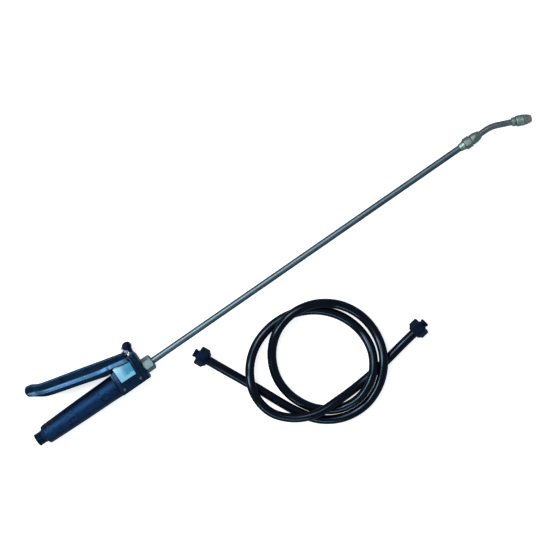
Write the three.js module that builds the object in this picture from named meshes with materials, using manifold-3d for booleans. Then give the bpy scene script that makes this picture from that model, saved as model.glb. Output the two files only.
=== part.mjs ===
// Knapsack sprayer lance: trigger handle, straight tube, bent extension, adjustable nozzle,
// and the separate rubber hose with a union nut at each end.
// Millimetres, +Z up. The lance lies on its side along +X with its lever towards +Y.
import * as THREE from 'three';
import { mergeVertices } from 'three/addons/utils/BufferGeometryUtils.js';
import Module from 'manifold-3d';

const wasm = await Module();
wasm.setup();

// ---- clearances -------------------------------------------------------------------------------
const GAP = 0.3;                 // between two pieces that touch or are screwed together
const SLIDE_GAP = 0.4;           // between pieces that move past each other

// ---- lance tube and its axis ------------------------------------------------------------------
const TUBE_R = 4.25;             // straight steel tube, outside
const TUBE_WALL = 0.8;
const TUBE_LENGTH = 515;
const TUBE_START = -4;           // the tube's end inside the head
const TUBE_END = TUBE_START + TUBE_LENGTH;

// ---- valve head (front face at x = 0) ---------------------------------------------------------
const COLLAR_LENGTH = 7;
const HEAD_HALF_WIDTH = 13.5;    // in Z, over both cheek covers
const HEAD_BOTTOM = -16.2;
const COLLAR_TOP = 25.6;
const HEAD_REAR = -42;
const CORE_HALF_WIDTH = 9;
const CORE_TOP = 12;
const CHEEK_REAR_TOP = 15.4;
const CHEEK_FRONT_TOP = 23.5;
const LABEL_THICKNESS = 0.4;
const SPIGOT_R = 9;              // rear spigot that carries the grip
const SPIGOT_LENGTH = 16;
const NOSE_WALL = 2.55;          // threaded nose that carries the lance nut
const NOSE_LENGTH = 8.6;

// ---- valve inside the head --------------------------------------------------------------------
const VALVE_X = -21.3;
const CHAMBER_R = 6.2;
const SEAT_BOTTOM = 3.5;
const SEAT_THICKNESS = 2;
const SEAT_BORE_R = 3.2;
const STEM_R = 2.1;
const GLAND_POCKET_R = 5;
const GLAND_POCKET_DEPTH = 3;
const GLAND_NUT_AF = 12;
const GLAND_NUT_HEIGHT = 2;
const PLUNGER_TOP = 21;
const PLUNGER_HEAD_R = 4.6;
const PLUNGER_HEAD_HEIGHT = 2.2;
const POPPET_R = 4.9;
const POPPET_HEIGHT = 2;
const WASHER_HEIGHT = 0.9;
const SPRING_R = 3.6;            // middle of the wire
const SPRING_WIRE_R = 0.45;
const SPRING_LENGTH = 8;
const SPRING_TURNS = 4;
const PLUG_HEIGHT = 2.6;
const INLET_BORE_R = 2.8;        // waterways through the head
const VALVE_BORE_R = 3.6;
const OUTLET_BORE_R = 1.4;

// ---- lever and its hinge ----------------------------------------------------------------------
const HINGE = [-3.3, 35];        // centre of the pivot, which runs along Z
const KNUCKLE_R = 5.2;
const KNUCKLE_HALF_WIDTH = 4.6;
const PIN_R = 2;
const EAR_INNER = KNUCKLE_HALF_WIDTH + SLIDE_GAP;
const EAR_THICKNESS = 1.4;
const CAP_R = 5.6;
const CAP_HEIGHT = 3.4;
const LEVER_SIDE_CLEARANCE = 1.4; // between a cheek cover and the lever's side wall
const LEVER_WALL = 2.4;
const LEVER_SKIRT_WALL = 1.3;
const LEVER_TOP_THICKNESS = 2.6;
const PAD_R = 4;                 // rounded rib that presses the plunger

// ---- grip -------------------------------------------------------------------------------------
const GRIP_LENGTH = 114;
const GRIP_FRONT_R = 15.6;
const GRIP_MID_R = 14.5;
const GRIP_REAR_R = 13.1;
const GRIP_BORE_R = 6.5;
const STUB_R = 8.8;              // male hose thread
const STUB_LENGTH = 12.4;
const STRAINER_LENGTH = 50;
const STRAINER_R = 5.2;
const STRAINER_BORE_R = 4.4;
const STRAINER_TAPER = 0.6;

// ---- fittings on the tube ---------------------------------------------------------------------
const LANCE_NUT_WALL = 1.6;      // from its thread to a flat
const LANCE_NUT_LENGTH = 13;
const OLIVE_LENGTH = 3;
const COLLAR_THREAD_WALL = 0.85;
const COUPLING_NUT_WALL = 1.1;
const COUPLING_NUT_LENGTH = 10;
const END_COLLAR_OVERLAP = 12;   // how much of the tube sits in the end collar
const COUPLING_BODY_LENGTH = 13.6;
const COUPLING_BORE_R = 3.4;

// ---- bent extension and nozzle ----------------------------------------------------------------
const BENT_R = 4.1;
const BENT_WALL = 0.8;
const BEND_ANGLE = 23;           // degrees, towards -Y
const BEND_RADIUS = 42;
const BENT_STRAIGHT_BEFORE = 18.5;
const BENT_STRAIGHT_AFTER = 23.7;
const NOZZLE_COLLAR_WALL = 1.5;
const NOZZLE_STEM_R = 4.6;
const NOZZLE_STEM_LENGTH = 13;
const NOZZLE_CAP_R = 7.3;
const NOZZLE_TIP_R = 4.1;
const NOZZLE_CAP_LENGTH = 20.6;
const CAP_FRONT_BORE_R = 3.6;

// ---- hose -------------------------------------------------------------------------------------
const HOSE_R = 6;
const HOSE_SIDES = 10;
const HOSE_STEPS = 78;
const UNION_AF = 22;
const UNION_LENGTH = 12.4;
const UNION_REAR_LENGTH = 3.2;   // conical rear of the union nut
const TAIL_R = 5.8;
const TAIL_BORE_R = 3.2;
const TAIL_PROUD = 6;            // how far the tail stands out of the nut

// The hose's centreline from one nut to the other. It makes two loose turns beside the lance,
// passing over itself in long low humps.
const HOSE_ROUTE = [
  [-143.8, -59, 11], [-135, -77.7, 10.9], [-124, -101, 7.6], [-111, -128, 6.2],
  [-85, -183, 6.2], [-66, -208.5, 6.2], [-38, -224, 6.8], [-6, -226, 9.6],
  [23, -214, 15.4], [45.5, -191, 18.8], [56.5, -161.5, 14], [55, -129.5, 11],
  [40.5, -101, 12], [15, -81, 16.4], [-16, -74, 19], [-46.5, -81.5, 15.2],
  [-70, -102.5, 7.4], [-82, -132, 6.2], [-79.5, -163.5, 6.2], [-64, -192, 6.2],
  [-38, -211, 6.8], [-7, -213.5, 13.2], [21.5, -199.5, 19.2], [39.5, -173.5, 13.8],
  [42.5, -142.5, 7.4], [32, -112, 6.2], [10.5, -88, 6.2], [-18.5, -74, 6.2],
  [-50.5, -72, 6.2], [-81, -81.5, 8.6], [-104.5, -102, 16.4], [-117.5, -131, 19.4],
  [-114, -162.5, 16.8], [-93, -186.5, 18], [-63.5, -199, 19], [-31.5, -200.5, 15.6],
  [0, -200, 8], [38, -196, 6.3], [80, -188, 10.8], [100.6, -184.6, 11],
];

// ---- finishes ---------------------------------------------------------------------------------
const FINISH = {
  blackPlastic: { color: 0x14161c, roughness: 0.42, metalness: 0 },
  gripPlastic: { color: 0x161a24, roughness: 0.5, metalness: 0 },
  labelFoil: { color: 0x7fb6d6, roughness: 0.35, metalness: 0.3 },
  steel: { color: 0x9fb0ba, roughness: 0.25, metalness: 1 },
  nickel: { color: 0xa3aca6, roughness: 0.35, metalness: 1 },
  brass: { color: 0xb99a5a, roughness: 0.35, metalness: 1 },
  rubber: { color: 0x101114, roughness: 0.7, metalness: 0 },
  hoseRubber: { color: 0x0b0c10, roughness: 0.28, metalness: 0 },
  whitePlastic: { color: 0xd9dad6, roughness: 0.6, metalness: 0 },
};

const rad = THREE.MathUtils.degToRad;

// ---- sizes that follow from those above -------------------------------------------------------
const SOCKET_R = TUBE_R + GAP;
const NOSE_R = SOCKET_R + NOSE_WALL;
const LANCE_NUT_AF = 2 * (NOSE_R + GAP + LANCE_NUT_WALL);
const COLLAR_THREAD_R = SOCKET_R + COLLAR_THREAD_WALL;
const COUPLING_NUT_BORE_R = COLLAR_THREAD_R + GAP;
const COUPLING_NUT_AF = 2 * (COUPLING_NUT_BORE_R + COUPLING_NUT_WALL);
const COUPLING_BODY_R = COUPLING_NUT_AF / 2 + 0.2;
const LEVER_INNER = HEAD_HALF_WIDTH + LEVER_SIDE_CLEARANCE;
const NOZZLE_COLLAR_R = BENT_R + GAP + NOZZLE_COLLAR_WALL;

// ---- solids -----------------------------------------------------------------------------------

// A closed three.js geometry as a solid, its faces turned outwards.
function solid(geometry) {
  const bare = geometry.clone();
  bare.deleteAttribute('normal');
  bare.deleteAttribute('uv');
  const merged = mergeVertices(bare, 1e-4);
  const vertProperties = new Float32Array(merged.attributes.position.array);
  const corners = merged.index.array;
  const kept = [];
  for (let i = 0; i < corners.length; i += 3) {
    const [p, q, r] = [corners[i], corners[i + 1], corners[i + 2]];
    if (p !== q && q !== r && r !== p) kept.push(p, q, r);
  }
  const triVerts = new Uint32Array(kept);
  const a = new THREE.Vector3();
  const b = new THREE.Vector3();
  const c = new THREE.Vector3();
  let volume = 0;
  for (let i = 0; i < triVerts.length; i += 3) {
    a.fromArray(vertProperties, 3 * triVerts[i]);
    b.fromArray(vertProperties, 3 * triVerts[i + 1]);
    c.fromArray(vertProperties, 3 * triVerts[i + 2]);
    volume += a.dot(b.cross(c));
  }
  if (volume < 0) {
    for (let i = 0; i < triVerts.length; i += 3) {
      const first = triVerts[i];
      triVerts[i] = triVerts[i + 1];
      triVerts[i + 1] = first;
    }
  }
  return new wasm.Manifold(new wasm.Mesh({ numProp: 3, vertProperties, triVerts }));
}

// A closed outline in the XY plane, given as points, raised from z = low to z = high.
function plate(outline, low, high) {
  const shape = new THREE.Shape(outline.map(([x, y]) => new THREE.Vector2(x, y)));
  const geometry = new THREE.ExtrudeGeometry(shape, { depth: high - low, bevelEnabled: false });
  return solid(geometry.translate(0, 0, low));
}

// A profile of [along, radius] pairs turned about the X axis. A profile that leaves the axis
// closes on itself.
function turned(profile, segments = 24) {
  const closed = profile[0][1] > 0 ? [...profile, profile[0]] : profile;
  const points = closed.map(([along, radius]) => new THREE.Vector2(radius, along));
  return solid(new THREE.LatheGeometry(points, segments).rotateZ(-Math.PI / 2));
}

// A round bar or ring along X from x = from to x = to.
function bar(from, to, outer, inner = 0, segments = 24) {
  if (inner > 0) return turned([[from, inner], [from, outer], [to, outer], [to, inner]], segments);
  return turned([[from, 0], [from, outer], [to, outer], [to, 0]], segments);
}

// The same bar standing along Y at (x, 0), or along Z at (x, y).
const barY = (x, from, to, outer, inner = 0, segments = 24) =>
  bar(from, to, outer, inner, segments).rotate([0, 0, 90]).translate([x, 0, 0]);
const barZ = (x, y, from, to, outer, inner = 0, segments = 24) =>
  bar(-to, -from, outer, inner, segments).rotate([0, 90, 0]).translate([x, y, 0]);

function block(x0, x1, y0, y1, z0, z1) {
  return solid(new THREE.BoxGeometry(x1 - x0, y1 - y0, z1 - z0)
    .translate((x0 + x1) / 2, (y0 + y1) / 2, (z0 + z1) / 2));
}

// A hexagonal bar along X with chamfered corners; one flat faces +Z.
function hexBar(from, to, acrossFlats, chamfer) {
  const corner = acrossFlats / Math.sqrt(3);
  const hexagon = turned([[from, 0], [from, corner], [to, corner], [to, 0]], 6);
  const inside = acrossFlats / 2;
  const limit = turned([
    [from, 0], [from, inside], [from + chamfer, corner], [to - chamfer, corner],
    [to, inside], [to, 0],
  ], 30);
  return hexagon.intersect(limit).rotate([30, 0, 0]);
}

const union = (first, ...rest) => rest.reduce((sum, next) => sum.add(next), first);
const cut = (first, ...rest) => rest.reduce((left, next) => left.subtract(next), first);

// ---- scene graph ------------------------------------------------------------------------------
const sprayer = new THREE.Group();
const lance = new THREE.Group();
const hoseSet = new THREE.Group();
sprayer.add(lance, hoseSet);

function piece(name, shape, finish, parent = lance) {
  const mesh = shape.getMesh();
  const geometry = new THREE.BufferGeometry();
  geometry.setAttribute('position', new THREE.BufferAttribute(mesh.vertProperties, 3));
  geometry.setIndex(new THREE.BufferAttribute(mesh.triVerts, 1));
  geometry.computeVertexNormals();
  const made = new THREE.Mesh(geometry, new THREE.MeshStandardMaterial(FINISH[finish]));
  made.name = name;
  parent.add(made);
  return made;
}

// ---- valve body -------------------------------------------------------------------------------
// One moulding: front collar with the hinge knuckle, core between the cheek covers, threaded
// nose for the lance nut and rear spigot for the grip, bored for the valve.
const SEAT_TOP = SEAT_BOTTOM + SEAT_THICKNESS;
const GLAND_POCKET_BOTTOM = CORE_TOP - GLAND_POCKET_DEPTH;
const PLUG_TOP = HEAD_BOTTOM + GAP + PLUG_HEIGHT;
const OUTLET_Y = 6.9;
const INLET_Y = -5;

function valveBody() {
  const collar = plate([
    [-COLLAR_LENGTH, HEAD_BOTTOM], [-1.5, HEAD_BOTTOM], [0, HEAD_BOTTOM + 2],
    [0, COLLAR_TOP - 5], [-1.5, COLLAR_TOP], [-COLLAR_LENGTH + 2.2, COLLAR_TOP],
    [-COLLAR_LENGTH, COLLAR_TOP - 3.1],
  ], -HEAD_HALF_WIDTH, HEAD_HALF_WIDTH);
  const [hx, hy] = HINGE;
  const neck = plate([
    [-4.4, COLLAR_TOP - 2], [-0.8, COLLAR_TOP - 2], [hx + 4.2, hy - 2.6], [hx - 3.6, hy - 3.4],
    [-5.2, 28],
  ], -KNUCKLE_HALF_WIDTH, KNUCKLE_HALF_WIDTH);
  const knuckle = barZ(hx, hy, -KNUCKLE_HALF_WIDTH, KNUCKLE_HALF_WIDTH, KNUCKLE_R);
  const core = block(HEAD_REAR, -COLLAR_LENGTH + 1, HEAD_BOTTOM, CORE_TOP,
    -CORE_HALF_WIDTH, CORE_HALF_WIDTH);
  const nose = bar(-1, NOSE_LENGTH, NOSE_R);
  const spigot = bar(HEAD_REAR - SPIGOT_LENGTH, HEAD_REAR + 1, SPIGOT_R);
  const outletPocket = block(TUBE_START - 6, TUBE_START - GAP + 0.1, 0, OUTLET_Y + 2, -2, 2);
  return cut(union(collar, neck, knuckle, core, nose, spigot),
    barZ(hx, hy, -KNUCKLE_HALF_WIDTH - 1, KNUCKLE_HALF_WIDTH + 1, PIN_R + GAP),
    bar(TUBE_START - GAP, NOSE_LENGTH + 1, SOCKET_R),
    outletPocket,
    bar(VALVE_X, TUBE_START - 3, OUTLET_BORE_R, 0, 16).translate([0, OUTLET_Y, 0]),
    barY(VALVE_X, HEAD_BOTTOM - 1, SEAT_TOP + GAP, CHAMBER_R),
    barY(VALVE_X, SEAT_TOP, GLAND_POCKET_BOTTOM - 0.6, VALVE_BORE_R),
    barY(VALVE_X, GLAND_POCKET_BOTTOM - 1, CORE_TOP, STEM_R + SLIDE_GAP),
    barY(VALVE_X, GLAND_POCKET_BOTTOM, CORE_TOP + 1, GLAND_POCKET_R),
    bar(HEAD_REAR - SPIGOT_LENGTH - 1, VALVE_X, INLET_BORE_R, 0, 20).translate([0, INLET_Y, 0]),
    ...coverScrewHoles());
}

// ---- cheek covers and their screws ------------------------------------------------------------
const COVER_SCREWS = [[-36, -10.9], [-10.2, -10.1]];
const SCREW_HEAD_R = 2.4;
const SCREW_HEAD_HEIGHT = 1.4;
const SCREW_SHANK_R = 1.4;
const SCREW_LENGTH = 10;
const CHEEK_INNER = CORE_HALF_WIDTH + GAP;
const LABEL = [[-34.4, -1], [-12.4, -1.6], [-10.9, 16.6], [-34.4, 20.2]];

const coverScrewHoles = () => [1, -1].flatMap((side) => COVER_SCREWS.map(([x, y]) => {
  const deep = HEAD_HALF_WIDTH - SCREW_LENGTH - GAP;
  return barZ(x, y, Math.min(side * deep, side * 20), Math.max(side * deep, side * 20),
    SCREW_SHANK_R + GAP, 0, 16);
}));

function cheekCover(side) {
  const outline = [
    [HEAD_REAR + 1.4, HEAD_BOTTOM], [-COLLAR_LENGTH - GAP, HEAD_BOTTOM],
    [-COLLAR_LENGTH - GAP, CHEEK_FRONT_TOP], [-22, CHEEK_FRONT_TOP - 3],
    [HEAD_REAR, CHEEK_REAR_TOP], [HEAD_REAR, HEAD_BOTTOM + 1.4],
  ];
  const [low, high] = side > 0 ? [CHEEK_INNER, HEAD_HALF_WIDTH] : [-HEAD_HALF_WIDTH, -CHEEK_INNER];
  const recessDepth = SCREW_HEAD_HEIGHT + GAP;
  const recesses = COVER_SCREWS.map(([x, y]) => barZ(x, y,
    side > 0 ? HEAD_HALF_WIDTH - recessDepth : -HEAD_HALF_WIDTH - 1,
    side > 0 ? HEAD_HALF_WIDTH + 1 : -HEAD_HALF_WIDTH + recessDepth, SCREW_HEAD_R + GAP));
  const cheek = cut(plate(outline, low, high), ...recesses, ...coverScrewHoles());
  if (side < 0) return cheek;
  const recess = new THREE.Box2().setFromPoints(LABEL.map(([x, y]) => new THREE.Vector2(x, y)));
  const middle = recess.getCenter(new THREE.Vector2());
  const grown = LABEL.map(([x, y]) => [
    x + GAP * Math.sign(x - middle.x), y + GAP * Math.sign(y - middle.y),
  ]);
  return cheek.subtract(plate(grown, HEAD_HALF_WIDTH - LABEL_THICKNESS - GAP, HEAD_HALF_WIDTH + 1));
}

function coverScrew(x, y, side) {
  const headOuter = HEAD_HALF_WIDTH - 0.1;
  const screw = turned([
    [headOuter - SCREW_LENGTH, 0], [headOuter - SCREW_LENGTH, SCREW_SHANK_R],
    [headOuter - SCREW_HEAD_HEIGHT, SCREW_SHANK_R], [headOuter - SCREW_HEAD_HEIGHT, SCREW_HEAD_R],
    [headOuter - 0.4, SCREW_HEAD_R], [headOuter, SCREW_HEAD_R - 0.8], [headOuter, 0],
  ], 20);
  return screw.rotate([0, side > 0 ? -90 : 90, 0]).translate([x, y, 0]);
}

piece('valve_body', valveBody(), 'blackPlastic');
piece('cheek_cover_upper', cheekCover(1), 'blackPlastic');
piece('cheek_cover_lower', cheekCover(-1), 'blackPlastic');
piece('label_plate', plate(LABEL, HEAD_HALF_WIDTH - LABEL_THICKNESS, HEAD_HALF_WIDTH), 'labelFoil');
[1, -1].forEach((side) => COVER_SCREWS.forEach(([x, y], i) => {
  const name = `cover_screw_${side > 0 ? 'upper' : 'lower'}_${i + 1}`;
  piece(name, coverScrew(x, y, side), 'steel');
}));

// ---- grip and strainer ------------------------------------------------------------------------
const GRIP_FRONT = HEAD_REAR - GAP;
const GRIP_REAR = GRIP_FRONT - GRIP_LENGTH;
const STUB_END = GRIP_REAR - STUB_LENGTH;
const SOCKET_END = HEAD_REAR - SPIGOT_LENGTH - GAP;

piece('grip', turned([
  [STUB_END, GRIP_BORE_R], [STUB_END, STUB_R - 0.8], [STUB_END + 0.8, STUB_R],
  [GRIP_REAR, STUB_R], [GRIP_REAR, GRIP_REAR_R - 3], [GRIP_REAR + 1, GRIP_REAR_R - 1],
  [GRIP_REAR + 3, GRIP_REAR_R - 0.2], [GRIP_REAR + 6, GRIP_REAR_R],
  [(GRIP_REAR + GRIP_FRONT) / 2, GRIP_MID_R], [GRIP_FRONT - 14, (GRIP_MID_R + GRIP_FRONT_R) / 2],
  [GRIP_FRONT, GRIP_FRONT_R], [GRIP_FRONT, SPIGOT_R + GAP], [SOCKET_END, SPIGOT_R + GAP],
  [SOCKET_END, GRIP_BORE_R],
], 32), 'gripPlastic');

const STRAINER_REAR = STUB_END + 8;
const STRAINER_FRONT = STRAINER_REAR + STRAINER_LENGTH;
piece('inlet_strainer', turned([
  [STRAINER_FRONT - 1.5, 0], [STRAINER_FRONT - 1.5, STRAINER_BORE_R - STRAINER_TAPER],
  [STRAINER_REAR, STRAINER_BORE_R],
  [STRAINER_REAR, GRIP_BORE_R - GAP], [STRAINER_REAR + 2, GRIP_BORE_R - GAP],
  [STRAINER_REAR + 2, STRAINER_R], [STRAINER_FRONT, STRAINER_R - STRAINER_TAPER],
  [STRAINER_FRONT, 0],
], 24), 'whitePlastic');
piece('strainer_seal', bar(STRAINER_REAR - GAP - 1.6, STRAINER_REAR - GAP, GRIP_BORE_R - GAP,
  STRAINER_BORE_R), 'rubber');

// ---- valve ------------------------------------------------------------------------------------
const POPPET_TOP = SEAT_BOTTOM - 2 * GAP - WASHER_HEIGHT;
const GLAND_NUT_BOTTOM = CORE_TOP + GAP;

piece('valve_seat', barY(VALVE_X, SEAT_BOTTOM, SEAT_TOP, CHAMBER_R - GAP, SEAT_BORE_R), 'brass');
piece('valve_plunger', union(
  barY(VALVE_X, POPPET_TOP - POPPET_HEIGHT, POPPET_TOP, POPPET_R),
  barY(VALVE_X, POPPET_TOP - 0.5, PLUNGER_TOP - 1, STEM_R, 0, 20),
  barY(VALVE_X, PLUNGER_TOP - PLUNGER_HEAD_HEIGHT, PLUNGER_TOP, PLUNGER_HEAD_R),
), 'brass');
piece('poppet_washer', barY(VALVE_X, POPPET_TOP + GAP, SEAT_BOTTOM - GAP, POPPET_R - 0.3,
  STEM_R + GAP), 'rubber');
piece('gland_nut', cut(union(
  hexBar(GLAND_NUT_BOTTOM, GLAND_NUT_BOTTOM + GLAND_NUT_HEIGHT, GLAND_NUT_AF, 0.5),
  bar(GLAND_NUT_BOTTOM - 1.4, GLAND_NUT_BOTTOM + 0.5, GLAND_POCKET_R - GAP),
), bar(0, 30, STEM_R + SLIDE_GAP)).rotate([0, 0, 90]).translate([VALVE_X, 0, 0]), 'brass');
piece('gland_seal', barY(VALVE_X, GLAND_POCKET_BOTTOM + GAP, GLAND_NUT_BOTTOM - 1.4 - GAP,
  GLAND_POCKET_R - GAP, STEM_R + GAP), 'rubber');
piece('spring_cap', barY(VALVE_X, HEAD_BOTTOM + GAP, PLUG_TOP, CHAMBER_R - GAP), 'brass');

class Helix extends THREE.Curve {
  getPoint(t, target = new THREE.Vector3()) {
    const angle = 2 * Math.PI * SPRING_TURNS * t;
    return target.set(SPRING_R * Math.cos(angle), SPRING_LENGTH * t, SPRING_R * Math.sin(angle));
  }
}

// A round bar of the given radius swept along a curve.
function swept(curve, radius, sides, steps, bore = 0) {
  const circle = (r, clockwise) => {
    const path = new THREE.Path();
    const points = Array.from({ length: sides }, (_, i) => {
      const angle = (clockwise ? -1 : 1) * 2 * Math.PI * i / sides;
      return new THREE.Vector2(r * Math.cos(angle), r * Math.sin(angle));
    });
    return path.setFromPoints(points);
  };
  const shape = new THREE.Shape(circle(radius, false).getPoints());
  if (bore > 0) shape.holes = [circle(bore, true)];
  return solid(new THREE.ExtrudeGeometry(shape, { extrudePath: curve, steps, bevelEnabled: false }));
}

const SPRING_TOP = POPPET_TOP - POPPET_HEIGHT - GAP - SPRING_WIRE_R;
piece('return_spring', swept(new Helix(), SPRING_WIRE_R, 5, SPRING_TURNS * 12)
  .translate([VALVE_X, SPRING_TOP - SPRING_LENGTH, 0]), 'steel');

// ---- lever ------------------------------------------------------------------------------------
// A channel open towards the grip: a top plate, two side walls with a stepped-in skirt below the
// rim, a closed upturned tip, and a rounded rib inside that presses the plunger.
const LEVER_BACK = [
  [-11, 30.4], [-16, 31.8], [-36.5, 37], [-62.5, 43.8], [-94, 51.7], [-125, 59.4], [-130.5, 61.6],
  [-134.5, 65], [-138.5, 66.2],
];
const LEVER_TIP = [[-142.5, 64.2], [-144.6, 60], [-144.6, 55]];
const LEVER_RIM = [[-137, 49.6], [-120, 44.8], [-36, 21.6], [-24, 19], [-9.5, 16.6]];
const LEVER_SKIRT = [
  [-137, 49.6], [-131, 44.2], [-126, 40.9], [-120, 38], [-73.5, 25.1], [-47.5, 17.3], [-41, 15.6],
  [-38, 17.2], [-36.8, 21.8],
];

const LEVER_UNDERSIDE = [
  [-140.4, 54], [-141.8, 58], [-141.2, 61.4], [-138.4, 63.2], [-135.8, 62.2], [-132.2, 59],
  [-125.6, 56.8],
];

function lever() {
  const lowered = LEVER_BACK.slice(0, 5).reverse().map(([x, y]) => [x, y - LEVER_TOP_THICKNESS]);
  const band = [...LEVER_BACK, ...LEVER_TIP, [-142.4, 52.2], ...LEVER_RIM];
  const skirt = [...LEVER_SKIRT, [-36.8, 26], [-73, 36], [-120, 48.6], [-136, 53]];
  const walls = [1, -1].flatMap((side) => [[band, LEVER_WALL], [skirt, LEVER_SKIRT_WALL]]
    .map(([outline, wall]) => {
      const far = LEVER_INNER + wall;
      return side > 0 ? plate(outline, LEVER_INNER, far) : plate(outline, -far, -LEVER_INNER);
    }));
  const top = plate([
    ...LEVER_BACK, ...LEVER_TIP, [-142.4, 52.2], ...LEVER_UNDERSIDE, ...lowered,
  ], -LEVER_INNER - 0.5, LEVER_INNER + 0.5);
  const padY = PLUNGER_TOP + GAP + PAD_R;
  const rib = union(
    plate([[VALVE_X - PAD_R, padY], [VALVE_X + PAD_R, padY], [VALVE_X + PAD_R, 29.6],
      [VALVE_X - PAD_R, 31]], -4.5, 4.5),
    barZ(VALVE_X, padY, -4.5, 4.5, PAD_R),
  );
  return cut(union(top, ...walls, rib), ...strapRivetHoles());
}

// ---- lever strap, rivets and pivot ------------------------------------------------------------
// A steel bracket: two ears on the pivot pin, a back plate, and a foot riveted under the lever.
const STRAP_THICKNESS = 1.4;
const STRAP_HALF_WIDTH = EAR_INNER + EAR_THICKNESS;
const FOOT_TOP = LEVER_BACK.slice(0, 2).map(([x, y]) => [x, y - LEVER_TOP_THICKNESS - GAP]);
const FOOT_SLOPE = Math.atan2(FOOT_TOP[1][1] - FOOT_TOP[0][1], FOOT_TOP[0][0] - FOOT_TOP[1][0]);
const RIVET_X = -13;
const RIVET_Z = 4.2;
const RIVET_R = 1.2;
const RIVET_HEAD_R = 2.1;
const RIVET_GRIP = LEVER_TOP_THICKNESS + 2 * GAP;

// A shape made along +X from the foot's top face, stood on that face at each rivet.
const atRivets = (shape) => [RIVET_Z, -RIVET_Z].map((z) => {
  const y = FOOT_TOP[0][1] + (FOOT_TOP[0][0] - RIVET_X) * Math.tan(FOOT_SLOPE);
  const lean = THREE.MathUtils.radToDeg(FOOT_SLOPE);
  return shape.rotate([0, 0, 90 - lean]).translate([RIVET_X, y, z]);
});
const strapRivetHoles = () => atRivets(bar(-6, 8, RIVET_R + GAP, 0, 16));

function strap() {
  const [hx, hy] = HINGE;
  const arc = Array.from({ length: 9 }, (_, i) => {
    const angle = rad(115 - i * 24);
    return [hx + 4.6 * Math.cos(angle), hy + 4.6 * Math.sin(angle)];
  });
  const ear = [[-8.6, 27.2], [-11.9, 36.4], ...arc, [-7.3, 27.2]];
  const [near, far] = FOOT_TOP;
  const foot = [[-8.6, near[1] + 0.2], near, far, [far[0], far[1] - STRAP_THICKNESS],
    [near[0], near[1] - STRAP_THICKNESS], [-8.2, near[1] - STRAP_THICKNESS], [-7.3, 27.2]];
  return cut(union(
    plate([[-8.6, 27.2], [-7.3, 27.2], [-10.6, 36.4], [-11.9, 36.4]],
      -STRAP_HALF_WIDTH, STRAP_HALF_WIDTH),
    plate(foot, -STRAP_HALF_WIDTH, STRAP_HALF_WIDTH),
    plate(ear, EAR_INNER, STRAP_HALF_WIDTH),
    plate(ear, -STRAP_HALF_WIDTH, -EAR_INNER),
  ), barZ(hx, hy, -20, 20, PIN_R + GAP), ...strapRivetHoles());
}

const strapRivet = turned([
  [-STRAP_THICKNESS - GAP - 1.2, 0], [-STRAP_THICKNESS - GAP - 1.2, RIVET_HEAD_R],
  [-STRAP_THICKNESS - GAP, RIVET_HEAD_R], [-STRAP_THICKNESS - GAP, RIVET_R],
  [RIVET_GRIP, RIVET_R], [RIVET_GRIP, RIVET_HEAD_R], [RIVET_GRIP + 0.6, RIVET_HEAD_R - 0.3],
  [RIVET_GRIP + 1, RIVET_HEAD_R - 1.1], [RIVET_GRIP + 1.1, 0],
], 16);

piece('lever', lever(), 'blackPlastic');
piece('lever_strap', strap(), 'steel');
atRivets(strapRivet).forEach((rivet, i) => piece(`strap_rivet_${i + 1}`, rivet, 'steel'));

const PIN_HALF_LENGTH = EAR_INNER + EAR_THICKNESS + 1.6;
const CAP_BASE = EAR_INNER + EAR_THICKNESS + GAP;
piece('pivot_pin', barZ(...HINGE, -PIN_HALF_LENGTH, PIN_HALF_LENGTH, PIN_R), 'steel');

function pinCap(side) {
  const rim = 0.9;
  const dome = Array.from({ length: 6 }, (_, i) => {
    const angle = rad(i * 18);
    return [CAP_BASE + rim + (CAP_HEIGHT - rim) * Math.sin(angle), CAP_R * Math.cos(angle)];
  });
  const profile = [
    [CAP_BASE, PIN_R + GAP], [CAP_BASE, CAP_R], ...dome.slice(0, 5), [CAP_BASE + CAP_HEIGHT, 0],
    [PIN_HALF_LENGTH + GAP, 0], [PIN_HALF_LENGTH + GAP, PIN_R + GAP],
  ];
  return turned(profile, 24).rotate([0, side > 0 ? -90 : 90, 0]).translate([...HINGE, 0]);
}
piece('pin_cap_upper', pinCap(1), 'blackPlastic');
piece('pin_cap_lower', pinCap(-1), 'blackPlastic');

// ---- lance tube and nut -----------------------------------------------------------------------
const OLIVE_START = NOSE_LENGTH + GAP;
const NUT_FRONT_INNER = OLIVE_START + OLIVE_LENGTH + GAP;
piece('lance_tube', bar(TUBE_START, TUBE_END, TUBE_R, TUBE_R - TUBE_WALL, 24), 'steel');
piece('lance_nut', cut(hexBar(GAP, GAP + LANCE_NUT_LENGTH, LANCE_NUT_AF, 1.2),
  bar(-1, NUT_FRONT_INNER, NOSE_R + GAP),
  bar(0, GAP + LANCE_NUT_LENGTH + 1, SOCKET_R)), 'nickel');
piece('lance_olive', turned([
  [OLIVE_START, SOCKET_R], [OLIVE_START, 6.2], [OLIVE_START + OLIVE_LENGTH / 2, NOSE_R],
  [OLIVE_START + OLIVE_LENGTH, 6.2], [OLIVE_START + OLIVE_LENGTH, SOCKET_R],
]), 'brass');

// ---- coupling ---------------------------------------------------------------------------------
const COLLAR_REAR = TUBE_END - END_COLLAR_OVERLAP;
const COLLAR_FRONT = TUBE_END + 1;
const COUPLING_NUT_REAR = COLLAR_REAR + 7.6;
const COUPLING_NUT_FRONT = COUPLING_NUT_REAR + COUPLING_NUT_LENGTH;
const NECK_R = COLLAR_THREAD_R - 0.8;
const FLANGE_REAR = COLLAR_FRONT + 2 * GAP + 0.8;
const LIP_REAR = COUPLING_NUT_FRONT - 2;
const BODY_REAR = COUPLING_NUT_FRONT + SLIDE_GAP;
const BODY_FRONT = BODY_REAR + COUPLING_BODY_LENGTH;
const BENT_START = FLANGE_REAR + 8;

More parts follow.
